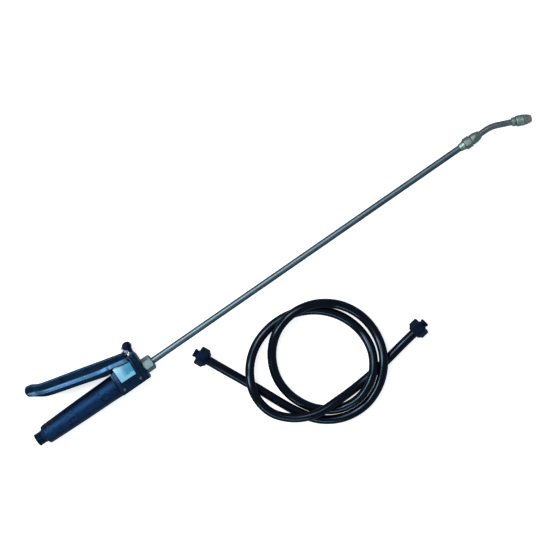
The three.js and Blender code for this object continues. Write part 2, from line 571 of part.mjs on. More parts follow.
piece('end_collar', turned([
  [COLLAR_REAR, SOCKET_R], [COLLAR_REAR, SOCKET_R + 0.5], [COUPLING_NUT_REAR - GAP, 6.4],
  [COUPLING_NUT_REAR - GAP, COLLAR_THREAD_R], [COLLAR_FRONT, COLLAR_THREAD_R],
  [COLLAR_FRONT, COUPLING_BORE_R], [TUBE_END + GAP, COUPLING_BORE_R], [TUBE_END + GAP, SOCKET_R],
]), 'nickel');
piece('coupling_nut', cut(
  hexBar(COUPLING_NUT_REAR, COUPLING_NUT_FRONT, COUPLING_NUT_AF, 0.9),
  bar(COUPLING_NUT_REAR - 1, LIP_REAR, COUPLING_NUT_BORE_R),
  bar(COUPLING_NUT_REAR, COUPLING_NUT_FRONT + 1, NECK_R + GAP)), 'nickel');
piece('coupling_seal', bar(COLLAR_FRONT + GAP, FLANGE_REAR - GAP, COLLAR_THREAD_R,
  COUPLING_BORE_R), 'rubber');
piece('coupling_body', turned([
  [FLANGE_REAR, COUPLING_BORE_R], [FLANGE_REAR, COLLAR_THREAD_R], [LIP_REAR - GAP, COLLAR_THREAD_R],
  [LIP_REAR - GAP, NECK_R], [BODY_REAR, NECK_R], [BODY_REAR, COUPLING_BODY_R - 0.6],
  [BODY_REAR + 0.6, COUPLING_BODY_R], [BODY_REAR + 6.5, COUPLING_BODY_R],
  [BODY_FRONT, BENT_R + 0.9], [BODY_FRONT, BENT_R + GAP], [BENT_START - GAP, BENT_R + GAP],
  [BENT_START - GAP, COUPLING_BORE_R],
]), 'nickel');

// ---- bent extension ---------------------------------------------------------------------------
// Straight out of the coupling body, one bend towards -Y, then straight to the nozzle.
const BEND_FROM = BENT_START + BENT_STRAIGHT_BEFORE;
const bend = rad(BEND_ANGLE);
const bendEnd = [BEND_FROM + BEND_RADIUS * Math.sin(bend), -BEND_RADIUS * (1 - Math.cos(bend))];
const nozzleDirection = [Math.cos(bend), -Math.sin(bend)];
const alongNozzle = (distance) => [
  bendEnd[0] + distance * nozzleDirection[0], bendEnd[1] + distance * nozzleDirection[1],
];

class BentLine extends THREE.Curve {
  getPoint(t, target = new THREE.Vector3()) {
    const arc = BEND_RADIUS * bend;
    const distance = t * (BENT_STRAIGHT_BEFORE + arc + BENT_STRAIGHT_AFTER);
    if (distance <= BENT_STRAIGHT_BEFORE) return target.set(BENT_START + distance, 0, 0);
    const turn = (distance - BENT_STRAIGHT_BEFORE) / BEND_RADIUS;
    if (turn <= bend) {
      return target.set(BEND_FROM + BEND_RADIUS * Math.sin(turn),
        -BEND_RADIUS * (1 - Math.cos(turn)), 0);
    }
    const [x, y] = alongNozzle(distance - BENT_STRAIGHT_BEFORE - arc);
    return target.set(x, y, 0);
  }
}
piece('bent_tube', swept(new BentLine(), BENT_R, 16, 16, BENT_R - BENT_WALL), 'steel');

// ---- nozzle, made along +X from the end of the bent tube and then turned into place -----------
const CAP_START = 3.4;
const TUBE_IN_NOZZLE = CAP_START - GAP - SLIDE_GAP;
const STEM_END = 1 + NOZZLE_STEM_LENGTH;
const CAP_END = CAP_START + NOZZLE_CAP_LENGTH;
const CAP_BORE_R = NOZZLE_STEM_R + GAP;
const GASKET_LENGTH = 1.2;
const STEM_BORE_R = 2.4;
const nozzleEnd = alongNozzle(BENT_STRAIGHT_AFTER - TUBE_IN_NOZZLE);
const placeNozzle = (shape) => shape.rotate([0, 0, -BEND_ANGLE])
  .translate([nozzleEnd[0], nozzleEnd[1], 0]);

piece('nozzle_body', placeNozzle(turned([
  [-2, BENT_R + GAP], [-2, NOZZLE_COLLAR_R - 0.5], [-1.5, NOZZLE_COLLAR_R],
  [CAP_START - GAP, NOZZLE_COLLAR_R], [CAP_START - GAP, NOZZLE_STEM_R],
  [STEM_END, NOZZLE_STEM_R],
  [STEM_END, STEM_BORE_R], [TUBE_IN_NOZZLE + GAP, STEM_BORE_R],
  [TUBE_IN_NOZZLE + GAP, BENT_R + GAP],
])), 'nickel');
piece('nozzle_cap', placeNozzle(turned([
  [CAP_START, CAP_BORE_R], [CAP_START, NOZZLE_CAP_R - 0.8], [CAP_START + 0.8, NOZZLE_CAP_R],
  [CAP_START + 6, NOZZLE_CAP_R], [CAP_END - 1, NOZZLE_TIP_R + 0.3], [CAP_END, NOZZLE_TIP_R - 0.3],
  [CAP_END, CAP_FRONT_BORE_R - 0.9], [CAP_END - 2, CAP_FRONT_BORE_R - 0.9],
  [CAP_END - 2, CAP_FRONT_BORE_R], [STEM_END + GASKET_LENGTH + 2 * GAP, CAP_FRONT_BORE_R],
  [STEM_END + GASKET_LENGTH + 2 * GAP, CAP_BORE_R],
], 32)), 'nickel');
piece('nozzle_gasket', placeNozzle(bar(STEM_END + GAP, STEM_END + GAP + GASKET_LENGTH,
  NOZZLE_STEM_R, 2.8)), 'rubber');
const SWIRL_R = STEM_BORE_R - GAP;
piece('swirl_core', placeNozzle(union(
  bar(STEM_END - 6, STEM_END + 2, SWIRL_R, 0, 12),
  bar(STEM_END - 7.4, STEM_END - 5.8, SWIRL_R - 0.8, 0, 12))), 'brass');
const TIP_REAR = CAP_END - 2 - GAP - 1.6;
piece('orifice_tip', placeNozzle(turned([
  [TIP_REAR, 0.6], [TIP_REAR, CAP_FRONT_BORE_R - GAP], [CAP_END - 2 - GAP, CAP_FRONT_BORE_R - GAP],
  [CAP_END - 2 - GAP, CAP_FRONT_BORE_R - 0.9 - GAP], [CAP_END + 0.4, CAP_FRONT_BORE_R - 0.9 - GAP],
  [CAP_END + 0.4, 0.6],
], 20)), 'brass');

// ---- hose and its two ends --------------------------------------------------------------------
const route = new THREE.CatmullRomCurve3(
  HOSE_ROUTE.map((point) => new THREE.Vector3(...point)), false, 'centripetal');
piece('hose', swept(route, HOSE_R, HOSE_SIDES, HOSE_STEPS), 'hoseRubber', hoseSet);

// Each end is made along +X with the hose's end at x = 0 and the fitting at x > 0.
const UNION_REAR = -3;
const UNION_SHOULDER = UNION_REAR + UNION_REAR_LENGTH;
const UNION_FRONT = UNION_SHOULDER + UNION_LENGTH;
const UNION_BORE_R = 9.1;
const TAIL_FLANGE_R = 8.6;
const TAIL_FLANGE_LENGTH = 2;
const UNION_WEB_FRONT = GAP + 2;

function unionNut() {
  const hexagon = hexBar(UNION_SHOULDER, UNION_FRONT, UNION_AF, 0.6);
  const rear = turned([
    [UNION_REAR, 0], [UNION_REAR, HOSE_R + 2], [UNION_SHOULDER, UNION_AF / 2 - 0.4],
    [UNION_SHOULDER + 1, UNION_AF / 2 - 0.4], [UNION_SHOULDER + 1, 0],
  ]);
  return cut(union(hexagon, rear),
    bar(UNION_REAR - 1, UNION_FRONT, HOSE_R + GAP + 0.1),
    bar(UNION_WEB_FRONT, UNION_FRONT + 1, UNION_BORE_R));
}

function hoseTail() {
  const flangeRear = UNION_WEB_FRONT + GAP;
  return turned([
    [GAP, TAIL_BORE_R], [GAP, TAIL_R], [flangeRear, TAIL_R], [flangeRear, TAIL_FLANGE_R],
    [flangeRear + TAIL_FLANGE_LENGTH, TAIL_FLANGE_R], [flangeRear + TAIL_FLANGE_LENGTH, TAIL_R],
    [UNION_FRONT + TAIL_PROUD - 0.8, TAIL_R], [UNION_FRONT + TAIL_PROUD, TAIL_R - 0.8],
    [UNION_FRONT + TAIL_PROUD, TAIL_BORE_R],
  ], 24);
}

function tailWasher() {
  const rear = UNION_WEB_FRONT + 2 * GAP + TAIL_FLANGE_LENGTH;
  return bar(rear, rear + 2, TAIL_FLANGE_R, TAIL_R + GAP, 24);
}

function hoseEnd(letter, at, away) {
  const direction = new THREE.Vector3(away[0], away[1], 0).normalize();
  const turn = THREE.MathUtils.radToDeg(Math.atan2(direction.y, direction.x));
  const put = (shape) => shape.rotate([0, 0, turn]).translate(at);
  piece(`hose_tail_${letter}`, put(hoseTail()), 'blackPlastic', hoseSet);
  piece(`union_nut_${letter}`, put(unionNut()), 'blackPlastic', hoseSet);
  piece(`tail_washer_${letter}`, put(tailWasher()), 'rubber', hoseSet);
}
const fromEnd = (at, next) => [at[0] - next[0], at[1] - next[1]];
hoseEnd('a', HOSE_ROUTE[0], fromEnd(HOSE_ROUTE[0], HOSE_ROUTE[1]));
hoseEnd('b', HOSE_ROUTE.at(-1), fromEnd(HOSE_ROUTE.at(-1), HOSE_ROUTE.at(-2)));

// ---- the origin: under the middle of the lance, on the surface it lies on ---------------------
const extent = new THREE.Box3().setFromObject(lance);
const centre = extent.getCenter(new THREE.Vector3());
lance.position.set(-centre.x, -centre.y, -extent.min.z);

export default sprayer;
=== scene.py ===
import math
import bpy
from mathutils import Matrix, Vector


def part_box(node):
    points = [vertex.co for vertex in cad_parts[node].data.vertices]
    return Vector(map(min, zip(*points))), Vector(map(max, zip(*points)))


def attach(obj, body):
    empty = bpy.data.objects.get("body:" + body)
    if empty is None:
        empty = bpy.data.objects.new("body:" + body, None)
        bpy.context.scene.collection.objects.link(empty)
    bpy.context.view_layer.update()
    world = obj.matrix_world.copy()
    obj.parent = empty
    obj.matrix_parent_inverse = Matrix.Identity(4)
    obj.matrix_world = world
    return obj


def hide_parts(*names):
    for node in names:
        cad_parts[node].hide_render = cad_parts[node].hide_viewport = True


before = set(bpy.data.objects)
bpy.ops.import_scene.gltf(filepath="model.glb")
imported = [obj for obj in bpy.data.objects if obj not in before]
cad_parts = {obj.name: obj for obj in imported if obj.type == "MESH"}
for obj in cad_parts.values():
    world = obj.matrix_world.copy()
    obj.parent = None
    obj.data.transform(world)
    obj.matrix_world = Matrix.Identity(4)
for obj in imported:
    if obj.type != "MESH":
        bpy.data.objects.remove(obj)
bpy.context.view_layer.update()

# ---- camera ------------------------------------------------------------------------------------
# A long lens looks straight down on the lance and its hose, turned so that the lance climbs
# towards the upper right.
LANCE_CLIMB = math.radians(34.7)
VIEW_CENTRE = (-0.0059, -0.0288)
VIEW_WIDTH = 0.728
LENS = 100
SENSOR = 36
AXIS_HEIGHT = 0.017      # the view is VIEW_WIDTH wide at the height of the lance's axis

camera_data = bpy.data.cameras.new("camera")
camera_data.lens = LENS
camera_data.sensor_width = SENSOR
camera = bpy.data.objects.new("camera", camera_data)
bpy.context.scene.collection.objects.link(camera)
camera.location = (*VIEW_CENTRE, VIEW_WIDTH * LENS / SENSOR + AXIS_HEIGHT)
camera.rotation_euler = (0, 0, -LANCE_CLIMB)
bpy.context.scene.camera = camera
bpy.context.scene.view_settings.view_transform = "Standard"


# ---- hose --------------------------------------------------------------------------------------
# A 12 mm reinforced rubber hose, smooth and glossy, lying in two loose turns beside the lance. It
# is pushed over the two tails and held by the union nuts.
HOSE_RADIUS = 0.006
HOSE_ROUTE_MM = [
    (-143.8, -59, 11), (-135, -77.7, 10.9), (-124, -101, 7.6), (-111, -128, 6.2),
    (-85, -183, 6.2), (-66, -208.5, 6.2), (-38, -224, 6.8), (-6, -226, 9.6),
    (23, -214, 15.4), (45.5, -191, 18.8), (56.5, -161.5, 14), (55, -129.5, 11),
    (40.5, -101, 12), (15, -81, 16.4), (-16, -74, 19), (-46.5, -81.5, 15.2),
    (-70, -102.5, 7.4), (-82, -132, 6.2), (-79.5, -163.5, 6.2), (-64, -192, 6.2),
    (-38, -211, 6.8), (-7, -213.5, 13.2), (21.5, -199.5, 19.2), (39.5, -173.5, 13.8),
    (42.5, -142.5, 7.4), (32, -112, 6.2), (10.5, -88, 6.2), (-18.5, -74, 6.2),
    (-50.5, -72, 6.2), (-81, -81.5, 8.6), (-104.5, -102, 16.4), (-117.5, -131, 19.4),
    (-114, -162.5, 16.8), (-93, -186.5, 18), (-63.5, -199, 19), (-31.5, -200.5, 15.6),
    (0, -200, 8), (38, -196, 6.3), (80, -188, 10.8), (100.6, -184.6, 11),
]
MM = 0.001


def smooth_line(name, points, radius):
    """A round line of one open spline that passes through every point.

    Each point carries the radius, because a curve's box reaches out by it.
    """
    curve = bpy.data.curves.new(name, "CURVE")
    curve.dimensions = "3D"
    curve.bevel_depth = 1.0
    curve.bevel_resolution = 9
    curve.resolution_u = 10
    curve.use_fill_caps = True
    spline = curve.splines.new("BEZIER")
    spline.bezier_points.add(len(points) - 1)
    gaps = [max(1e-4, math.sqrt((b - a).length)) for a, b in zip(points, points[1:])]
    for i, point in enumerate(spline.bezier_points):
        before, after = points[max(i - 1, 0)], points[min(i + 1, len(points) - 1)]
        here = points[i]
        rear, front = gaps[max(i - 1, 0)], gaps[min(i, len(gaps) - 1)]
        slope = (here - before) / rear - (after - before) / (rear + front) + (after - here) / front
        if i == 0:
            slope = (after - here) / front
        if i == len(points) - 1:
            slope = (here - before) / rear
        point.co = here
        point.radius = radius
        point.handle_left_type = point.handle_right_type = "FREE"
        point.handle_left = here - slope * rear / 3
        point.handle_right = here + slope * front / 3
    line = bpy.data.objects.new(name, curve)
    bpy.context.scene.collection.objects.link(line)
    return line


hose_line = [Vector(point) * MM for point in HOSE_ROUTE_MM]
hose = smooth_line("rubber_hose", hose_line, HOSE_RADIUS)
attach(hose, "hose")
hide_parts("hose")


def node(tree, kind, inputs=None, **settings):
    """A shader node with its settings, its inputs set or linked."""
    made = tree.nodes.new("ShaderNode" + kind)
    for key, value in settings.items():
        setattr(made, key, value)
    for key, value in (inputs or {}).items():
        if isinstance(value, bpy.types.NodeSocket):
            tree.links.new(value, made.inputs[key])
        else:
            made.inputs[key].default_value = value
    return made


def maths(tree, operation, *values, clamp=False):
    """The output of one step of arithmetic on numbers and other outputs."""
    return node(tree, "Math", dict(enumerate(values)), operation=operation,
                use_clamp=clamp).outputs[0]


def new_group(name, inputs, outputs):
    """A shader group with float inputs {name: default} and float outputs, and its coordinates."""
    group = bpy.data.node_groups.new(name, "ShaderNodeTree")
    for key, value in inputs.items():
        socket = group.interface.new_socket(key, in_out="INPUT", socket_type="NodeSocketFloat")
        socket.default_value = value
    for key in outputs:
        group.interface.new_socket(key, in_out="OUTPUT", socket_type="NodeSocketFloat")
    place = node(group, "TexCoord").outputs["Object"]
    return group, group.nodes.new("NodeGroupInput"), group.nodes.new("NodeGroupOutput"), place


def make_handling_group():
    """Smears from handling: Patches runs from 0 to 1, Height is a faint waviness."""
    group, given, out, place = new_group("handling", {"Size": 60.0}, ["Patches", "Height"])
    broad = node(group, "TexNoise", {"Vector": place, "Scale": given.outputs["Size"],
                                     "Detail": 4.0, "Roughness": 0.6, "Distortion": 0.4})
    fine_size = maths(group, "MULTIPLY", given.outputs["Size"], 9.0)
    fine = node(group, "TexNoise", {"Vector": place, "Scale": fine_size, "Detail": 3.0})
    mixed = maths(group, "MULTIPLY_ADD", fine.outputs[0], 0.35, broad.outputs[0])
    spread = maths(group, "SUBTRACT", mixed, 0.67)
    patches = maths(group, "MULTIPLY_ADD", spread, 2.6, 0.5, clamp=True)
    group.links.new(patches, out.inputs["Patches"])
    group.links.new(broad.outputs[0], out.inputs["Height"])
    return group


def make_edge_wear_group():
    """A mask of the edges that hands and ground rub, broken up by noise."""
    group, given, out, place = new_group("edge_wear", {"Reach": 0.56, "Amount": 1.0}, ["Mask"])
    corner = node(group, "NewGeometry").outputs["Pointiness"]
    rubbed = node(group, "MapRange", {"Value": corner, "From Min": 0.5,
                                      "From Max": given.outputs["Reach"]})
    breaks = node(group, "TexNoise", {"Vector": place, "Scale": 420.0, "Detail": 5.0})
    broken = node(group, "MapRange", {"Value": breaks.outputs[0], "From Min": 0.38,
                                      "From Max": 0.62})
    both = maths(group, "MULTIPLY", rubbed.outputs[0], broken.outputs[0])
    mask = maths(group, "MULTIPLY", both, given.outputs["Amount"], clamp=True)
    group.links.new(mask, out.inputs["Mask"])
    return group


handling = make_handling_group()
edge_wear = make_edge_wear_group()


def placed_group(tree, group, **values):
    """A shader group placed in a material with its own values."""
    made = tree.nodes.new("ShaderNodeGroup")
    made.node_tree = group
    for key, value in values.items():
        made.inputs[key].default_value = value
    return made


def new_material(name, metallic, **sockets):
    """A material with a Principled shader; the sockets are set on the shader itself."""
    material = bpy.data.materials.new(name)
    material.use_nodes = True
    shader = material.node_tree.nodes["Principled BSDF"]
    shader.inputs["Metallic"].default_value = metallic
    for key, value in sockets.items():
        shader.inputs[key.replace("_", " ")].default_value = value
    return material, material.node_tree, shader


def blend_colours(tree, mask, low, high):
    """The colour low where the mask is 0 and high where it is 1."""
    mix = node(tree, "Mix", {"Factor": mask}, data_type="RGBA")
    for socket, colour in ((mix.inputs[6], low), (mix.inputs[7], high)):
        if isinstance(colour, bpy.types.NodeSocket):
            tree.links.new(colour, socket)
        else:
            socket.default_value = (*colour, 1)
    return mix.outputs[2]


def lay_relief(tree, shader, height, strength, distance, under=None):
    """A bump from a height, laid over an earlier bump, becomes the shader's normal."""
    inputs = {"Height": height, "Strength": strength, "Distance": distance}
    if under:
        inputs["Normal"] = under.outputs[0]
    relief = node(tree, "Bump", inputs)
    tree.links.new(relief.outputs[0], shader.inputs["Normal"])
    return relief


def worn_finish(name, metallic, dark, light, rough, patch_size, wear_colour, wear, bump,
                **sockets):
    """Colour and roughness vary with handling, and rubbed edges show the wear colour."""
    material, tree, shader = new_material(name, metallic, **sockets)
    smears = placed_group(tree, handling, Size=patch_size)
    rubbed = placed_group(tree, edge_wear, Amount=wear)
    body = blend_colours(tree, smears.outputs["Patches"], dark, light)
    worn = blend_colours(tree, rubbed.outputs["Mask"], body, wear_colour)
    dullness = node(tree, "MapRange", {"Value": smears.outputs["Patches"],
                                       "To Min": rough[0], "To Max": rough[1]})
    tree.links.new(worn, shader.inputs["Base Color"])
    tree.links.new(dullness.outputs[0], shader.inputs["Roughness"])
    relief = lay_relief(tree, shader, smears.outputs["Height"], bump, 0.0004)
    return material, tree, shader, relief


hose_rubber, *_ = worn_finish(
    "hose_rubber", 0.0, (0.0008, 0.0010, 0.0040), (0.0016, 0.0022, 0.0070), (0.12, 0.20), 45.0,
    (0.02, 0.025, 0.035), 0.0, 0.2, Specular_IOR_Level=0.5, Specular_Tint=(0.50, 0.72, 0.92, 1.0))
hose.data.materials.append(hose_rubber)

# ---- hose tails and union nuts -----------------------------------------------------------------
# Each hose end is a black nylon tail with a sealing flange, drawn onto a threaded outlet by a
# hexagonal union nut with a coned rear. The tails are moulded, the nuts spin freely on them.
TAIL_BORE = 3.2
TAIL_RADIUS = 5.8
TAIL_FLANGE_RADIUS = 8.6
TAIL_END = 18.6
NUT_REAR = -3
NUT_SHOULDER = 0.2
NUT_FRONT = 12.6
NUT_FLATS = 22
NUT_WEB_FRONT = 2.3
NUT_THREAD_RADIUS = 9.1
NUT_THREAD_DEPTH = 0.35
NUT_RING_STEP = 0.4
NUT_NECK_RADIUS = 6.4


def turned(name, profile, sides=64, ring=False):
    """A piece turned about Z from (height, radius) pairs in mm, solid or a closed ring."""
    bpy.ops.object.select_all(action="DESELECT")
    (height, radius), *rest = [*profile, profile[0]] if ring else profile
    bpy.ops.mesh.primitive_circle_add(vertices=sides, radius=radius * MM,
                                      location=(0, 0, height * MM),
                                      fill_type="NOTHING" if ring else "NGON")
    made = bpy.context.object
    made.name = made.data.name = name
    bpy.ops.object.transform_apply()
    bpy.ops.object.mode_set(mode="EDIT")
    bpy.ops.mesh.select_all(action="SELECT")
    extrude = bpy.ops.mesh.extrude_edges_move if ring else bpy.ops.mesh.extrude_region_move
    for next_height, next_radius in rest:
        extrude(TRANSFORM_OT_translate={"value": (0, 0, (next_height - height) * MM)})
        share = next_radius / radius
        bpy.ops.transform.resize(value=(share, share, 1), center_override=(0, 0, next_height * MM))
        height, radius = next_height, next_radius
    bpy.ops.mesh.select_all(action="SELECT")
    if ring:
        bpy.ops.mesh.remove_doubles(threshold=1e-6)
    bpy.ops.mesh.normals_make_consistent(inside=False)
    bpy.ops.object.mode_set(mode="OBJECT")
    return made


def pick(piece):
    """Makes one piece the only selected one, and the active one."""
    bpy.ops.object.select_all(action="DESELECT")
    piece.select_set(True)
    bpy.context.view_layer.objects.active = piece


def apply_modifier(piece, kind, **settings):
    """A modifier added with its settings and applied."""
    pick(piece)
    modifier = piece.modifiers.new(kind.lower(), kind)
    for key, value in settings.items():
        setattr(modifier, key, value)
    bpy.ops.object.modifier_apply(modifier=modifier.name)


def carve(piece, tool, operation="DIFFERENCE"):
    """The tool's shape is cut from the piece, or joined or kept in common, and the tool is gone."""
    apply_modifier(piece, "BOOLEAN", object=tool, operation=operation, solver="EXACT")
    bpy.data.objects.remove(tool, do_unlink=True)


def smooth(angle):
    """Shades the active piece smooth over every edge that turns by less than the angle."""
    bpy.ops.object.shade_smooth_by_angle(angle=math.radians(angle))


def soften(piece, width, segments=3, angle=30):
    """Rounds every edge sharper than the angle, and shades the piece smooth."""
    apply_modifier(piece, "BEVEL", width=width * MM, segments=segments, limit_method="ANGLE",
                   angle_limit=math.radians(angle), harden_normals=False, use_clamp_overlap=True)
    smooth(angle + 5)


def seat(piece, at, along=None, roll=0.0):
    """Moves a piece's mesh to its place, its own Z turned to the given direction."""
    turn = along.to_track_quat("Z", "Y").to_matrix().to_4x4() if along else Matrix.Identity(4)
    piece.matrix_world = Matrix.Translation(at) @ turn @ Matrix.Rotation(roll, 4, "Z")
    pick(piece)
    bpy.ops.object.transform_apply()


def give(piece, material, body, slot, *nodes):
    """The finished piece gets its material, rides on its body and stands for its CAD nodes."""
    piece.data.materials.clear()
    piece.data.materials.append(material)
    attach(piece, body)
    if nodes:
        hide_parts(*nodes)
    return piece


def hexagon_bar(name, low, high, flats, chamfer, bore=0.0):
    """A hexagonal nut blank along Z, its corners turned down at both ends, with a plain bore."""
    corner = flats / math.sqrt(3)
    bpy.ops.object.select_all(action="DESELECT")
    bpy.ops.mesh.primitive_cylinder_add(vertices=6, radius=corner * MM, depth=(high - low) * MM,
                                        location=(0, 0, (low + high) / 2 * MM))
    blank = bpy.context.object
    blank.name = blank.data.name = name
    bpy.ops.object.transform_apply()
    inside = flats / 2
    carve(blank, turned("chamfer", [
        (low, inside - 0.3), (low + chamfer, corner), (high - chamfer, corner),
        (high, inside - 0.3)], 96), "INTERSECT")
    if bore:
        carve(blank, turned("bore", [(low - 1, bore), (high + 1, bore)], 64))
    return blank


black_nylon, *_ = worn_finish(
    "black_nylon", 0.0, (0.0020, 0.0045, 0.0120), (0.0040, 0.0080, 0.0190), (0.34, 0.50), 90.0,
    (0.02, 0.03, 0.05), 0.6, 0.3, Specular_IOR_Level=0.3, Specular_Tint=(0.08, 0.22, 0.75, 1.0))


def hose_end(letter, end, inner):
    """One tail with its union nut, where the hose's line runs out past its end point."""
    away = Vector((end.x - inner.x, end.y - inner.y, 0)).normalized()
    stub = [(z, TAIL_RADIUS) for z in (5.4, 9.0, 13.4)]
    tail = turned(f"nylon_tail_{letter}", [
        (0.3, TAIL_BORE), (0.3, TAIL_RADIUS), (2.6, TAIL_RADIUS), (2.6, TAIL_FLANGE_RADIUS),
        (4.6, TAIL_FLANGE_RADIUS), (4.6, TAIL_RADIUS), *stub, (14.0, TAIL_RADIUS - 0.7),
        (15.4, TAIL_RADIUS - 0.7), (16.0, TAIL_RADIUS), (TAIL_END - 1.0, TAIL_RADIUS),
        (TAIL_END, TAIL_RADIUS - 0.9), (TAIL_END, TAIL_BORE + 0.5), (TAIL_END - 0.5, TAIL_BORE)],
        64, ring=True)
    soften(tail, 0.25, 2)
    seat(tail, end, away)
    give(tail, black_nylon, "hose", "black_plastic", f"hose_tail_{letter}")

    nut = hexagon_bar(f"nylon_nut_{letter}", NUT_SHOULDER, NUT_FRONT, NUT_FLATS, 0.9)
    carve(nut, turned("rear", [
        (NUT_REAR, NUT_NECK_RADIUS + 1.6), (NUT_SHOULDER - 0.6, NUT_FLATS / 2 - 0.6),
        (NUT_SHOULDER + 1, NUT_FLATS / 2 - 0.6)], 64), "UNION")
    carve(nut, turned("neck", [(NUT_REAR - 1, NUT_NECK_RADIUS), (NUT_FRONT, NUT_NECK_RADIUS)], 64))
    rings = round((NUT_FRONT - NUT_WEB_FRONT) / NUT_RING_STEP)
    thread = turned("thread", [
        (NUT_WEB_FRONT + i * NUT_RING_STEP,
         NUT_THREAD_RADIUS + NUT_THREAD_DEPTH * (i % 4 in (1, 2)))
        for i in range(rings + 4)], 64)
    carve(nut, thread)
    soften(nut, 0.45, 3, 40)
    seat(nut, end, away, math.radians(30))
    give(nut, black_nylon, f"union_{letter}", "black_plastic", f"union_nut_{letter}")
    return [tail, nut]


hose_ends = hose_end("a", hose_line[0], hose_line[1]) + hose_end("b", hose_line[-1], hose_line[-2])

# ---- valve body --------------------------------------------------------------------------------
# One glass-filled nylon moulding: a front collar with the lever's hinge knuckle on top, a core that
# the covers close, a threaded nose for the lance nut and a rear spigot that the grip is glued on.
tube_low, tube_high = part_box("lance_tube")
TUBE_START = -4
LANCE = Vector((tube_low.x - TUBE_START * MM, (tube_low.y + tube_high.y) / 2,
                (tube_low.z + tube_high.z) / 2))
ALONG = Vector((1, 0, 0))
GAP = 0.3
TUBE_RADIUS = 4.25
SOCKET_RADIUS = TUBE_RADIUS + GAP
HEAD_HALF = 13.5
HEAD_BOTTOM = -16.2
HEAD_REAR = -42
COLLAR_REAR = -7
COLLAR_TOP = 25.6
CORE_HALF = 9
CORE_TOP = 12
NOSE_END = 8.6
NOSE_RADIUS = 7.1
SPIGOT_END = -58
SPIGOT_RADIUS = 9
VALVE_X = -21.3
CHAMBER_RADIUS = 6.2
VALVE_BORE = 3.6
STEM_BORE = 2.5
GLAND_RADIUS = 5
INLET_BORE = 2.8
HINGE = (-3.3, 35)
PIN_HOLE_RADIUS = 2.3
KNUCKLE_HALF = 4.6
KNUCKLE_RADIUS = 5.2
COLLAR_OUTLINE = [(COLLAR_REAR, HEAD_BOTTOM), (-1.5, HEAD_BOTTOM), (0, -14.2), (0, 20.6),
                  (-1.5, COLLAR_TOP), (-4.8, COLLAR_TOP), (COLLAR_REAR, 22.5)]
NECK_OUTLINE = [(-4.4, 23.6), (-0.8, 23.6), (0.9, 32.4), (-6.9, 31.6), (-5.2, 28)]


def plate(name, outline, low, high):
    """A flat piece: an outline in mm in the XY plane, raised from one height to another."""
    bpy.ops.object.select_all(action="DESELECT")
    bpy.ops.mesh.primitive_circle_add(vertices=len(outline), radius=MM, fill_type="NGON")
    made = bpy.context.object
    made.name = made.data.name = name
    for vertex, (x, y) in zip(made.data.vertices, outline):
        vertex.co = Vector((x, y, low)) * MM
    bpy.ops.object.mode_set(mode="EDIT")
    bpy.ops.mesh.select_all(action="SELECT")
    bpy.ops.mesh.extrude_region_move(TRANSFORM_OT_translate={"value": (0, 0, (high - low) * MM)})
    bpy.ops.mesh.select_all(action="SELECT")
    bpy.ops.mesh.normals_make_consistent(inside=False)
    bpy.ops.object.mode_set(mode="OBJECT")
    return made


def block(name, x, y, z):
    """A rectangular block between two values along each axis, in mm."""
    return plate(name, [(x[0], y[0]), (x[1], y[0]), (x[1], y[1]), (x[0], y[1])], *z)


def rod(name, profile, at=(0, 0, 0), along=None, sides=48, ring=False):
    """A turned piece stood at a point in mm, along a direction or upright."""
    made = turned(name, profile, sides, ring)
    seat(made, Vector(at) * MM, along)
    return made


valve_body = plate("valve_moulding", COLLAR_OUTLINE, -HEAD_HALF, HEAD_HALF)
soften(valve_body, 0.9, 3)
core = block("core", (HEAD_REAR, COLLAR_REAR + 1), (HEAD_BOTTOM, CORE_TOP), (-CORE_HALF, CORE_HALF))
carve(valve_body, core, "UNION")
neck = plate("neck", NECK_OUTLINE, -KNUCKLE_HALF, KNUCKLE_HALF)
soften(neck, 0.6, 2)
carve(valve_body, neck, "UNION")
knuckle = rod("knuckle", [
    (-KNUCKLE_HALF, KNUCKLE_RADIUS - 0.5), (-KNUCKLE_HALF + 0.5, KNUCKLE_RADIUS),
    (KNUCKLE_HALF - 0.5, KNUCKLE_RADIUS), (KNUCKLE_HALF, KNUCKLE_RADIUS - 0.5)],
    (*HINGE, 0), sides=64)
carve(valve_body, knuckle, "UNION")
carve(valve_body, rod("nose", [(-1, NOSE_RADIUS), (NOSE_END, NOSE_RADIUS)], along=ALONG), "UNION")
carve(valve_body, rod("spigot", [(SPIGOT_END, SPIGOT_RADIUS), (HEAD_REAR + 1, SPIGOT_RADIUS)],
                      along=ALONG), "UNION")
UP = Vector((0, 1, 0))
for bore in (
        rod("pin_hole", [(-6, PIN_HOLE_RADIUS), (6, PIN_HOLE_RADIUS)], (*HINGE, 0)),
        rod("tube_socket", [(TUBE_START - GAP, SOCKET_RADIUS), (NOSE_END + 1, SOCKET_RADIUS)],
            along=ALONG),
        rod("chamber", [(HEAD_BOTTOM - 1, CHAMBER_RADIUS), (5.8, CHAMBER_RADIUS)],
            (VALVE_X, 0, 0), UP),
        rod("valve_bore", [(5.5, VALVE_BORE), (8.4, VALVE_BORE)], (VALVE_X, 0, 0), UP),
        rod("stem_bore", [(8, STEM_BORE), (CORE_TOP, STEM_BORE)], (VALVE_X, 0, 0), UP),
        rod("gland_pocket", [(9, GLAND_RADIUS), (CORE_TOP + 1, GLAND_RADIUS)],
            (VALVE_X, 0, 0), UP),
        rod("inlet_bore", [(SPIGOT_END - 1, INLET_BORE), (VALVE_X, INLET_BORE)],
            (0, -5, 0), ALONG)):
    carve(valve_body, bore)
seat(valve_body, LANCE)
smooth(32)

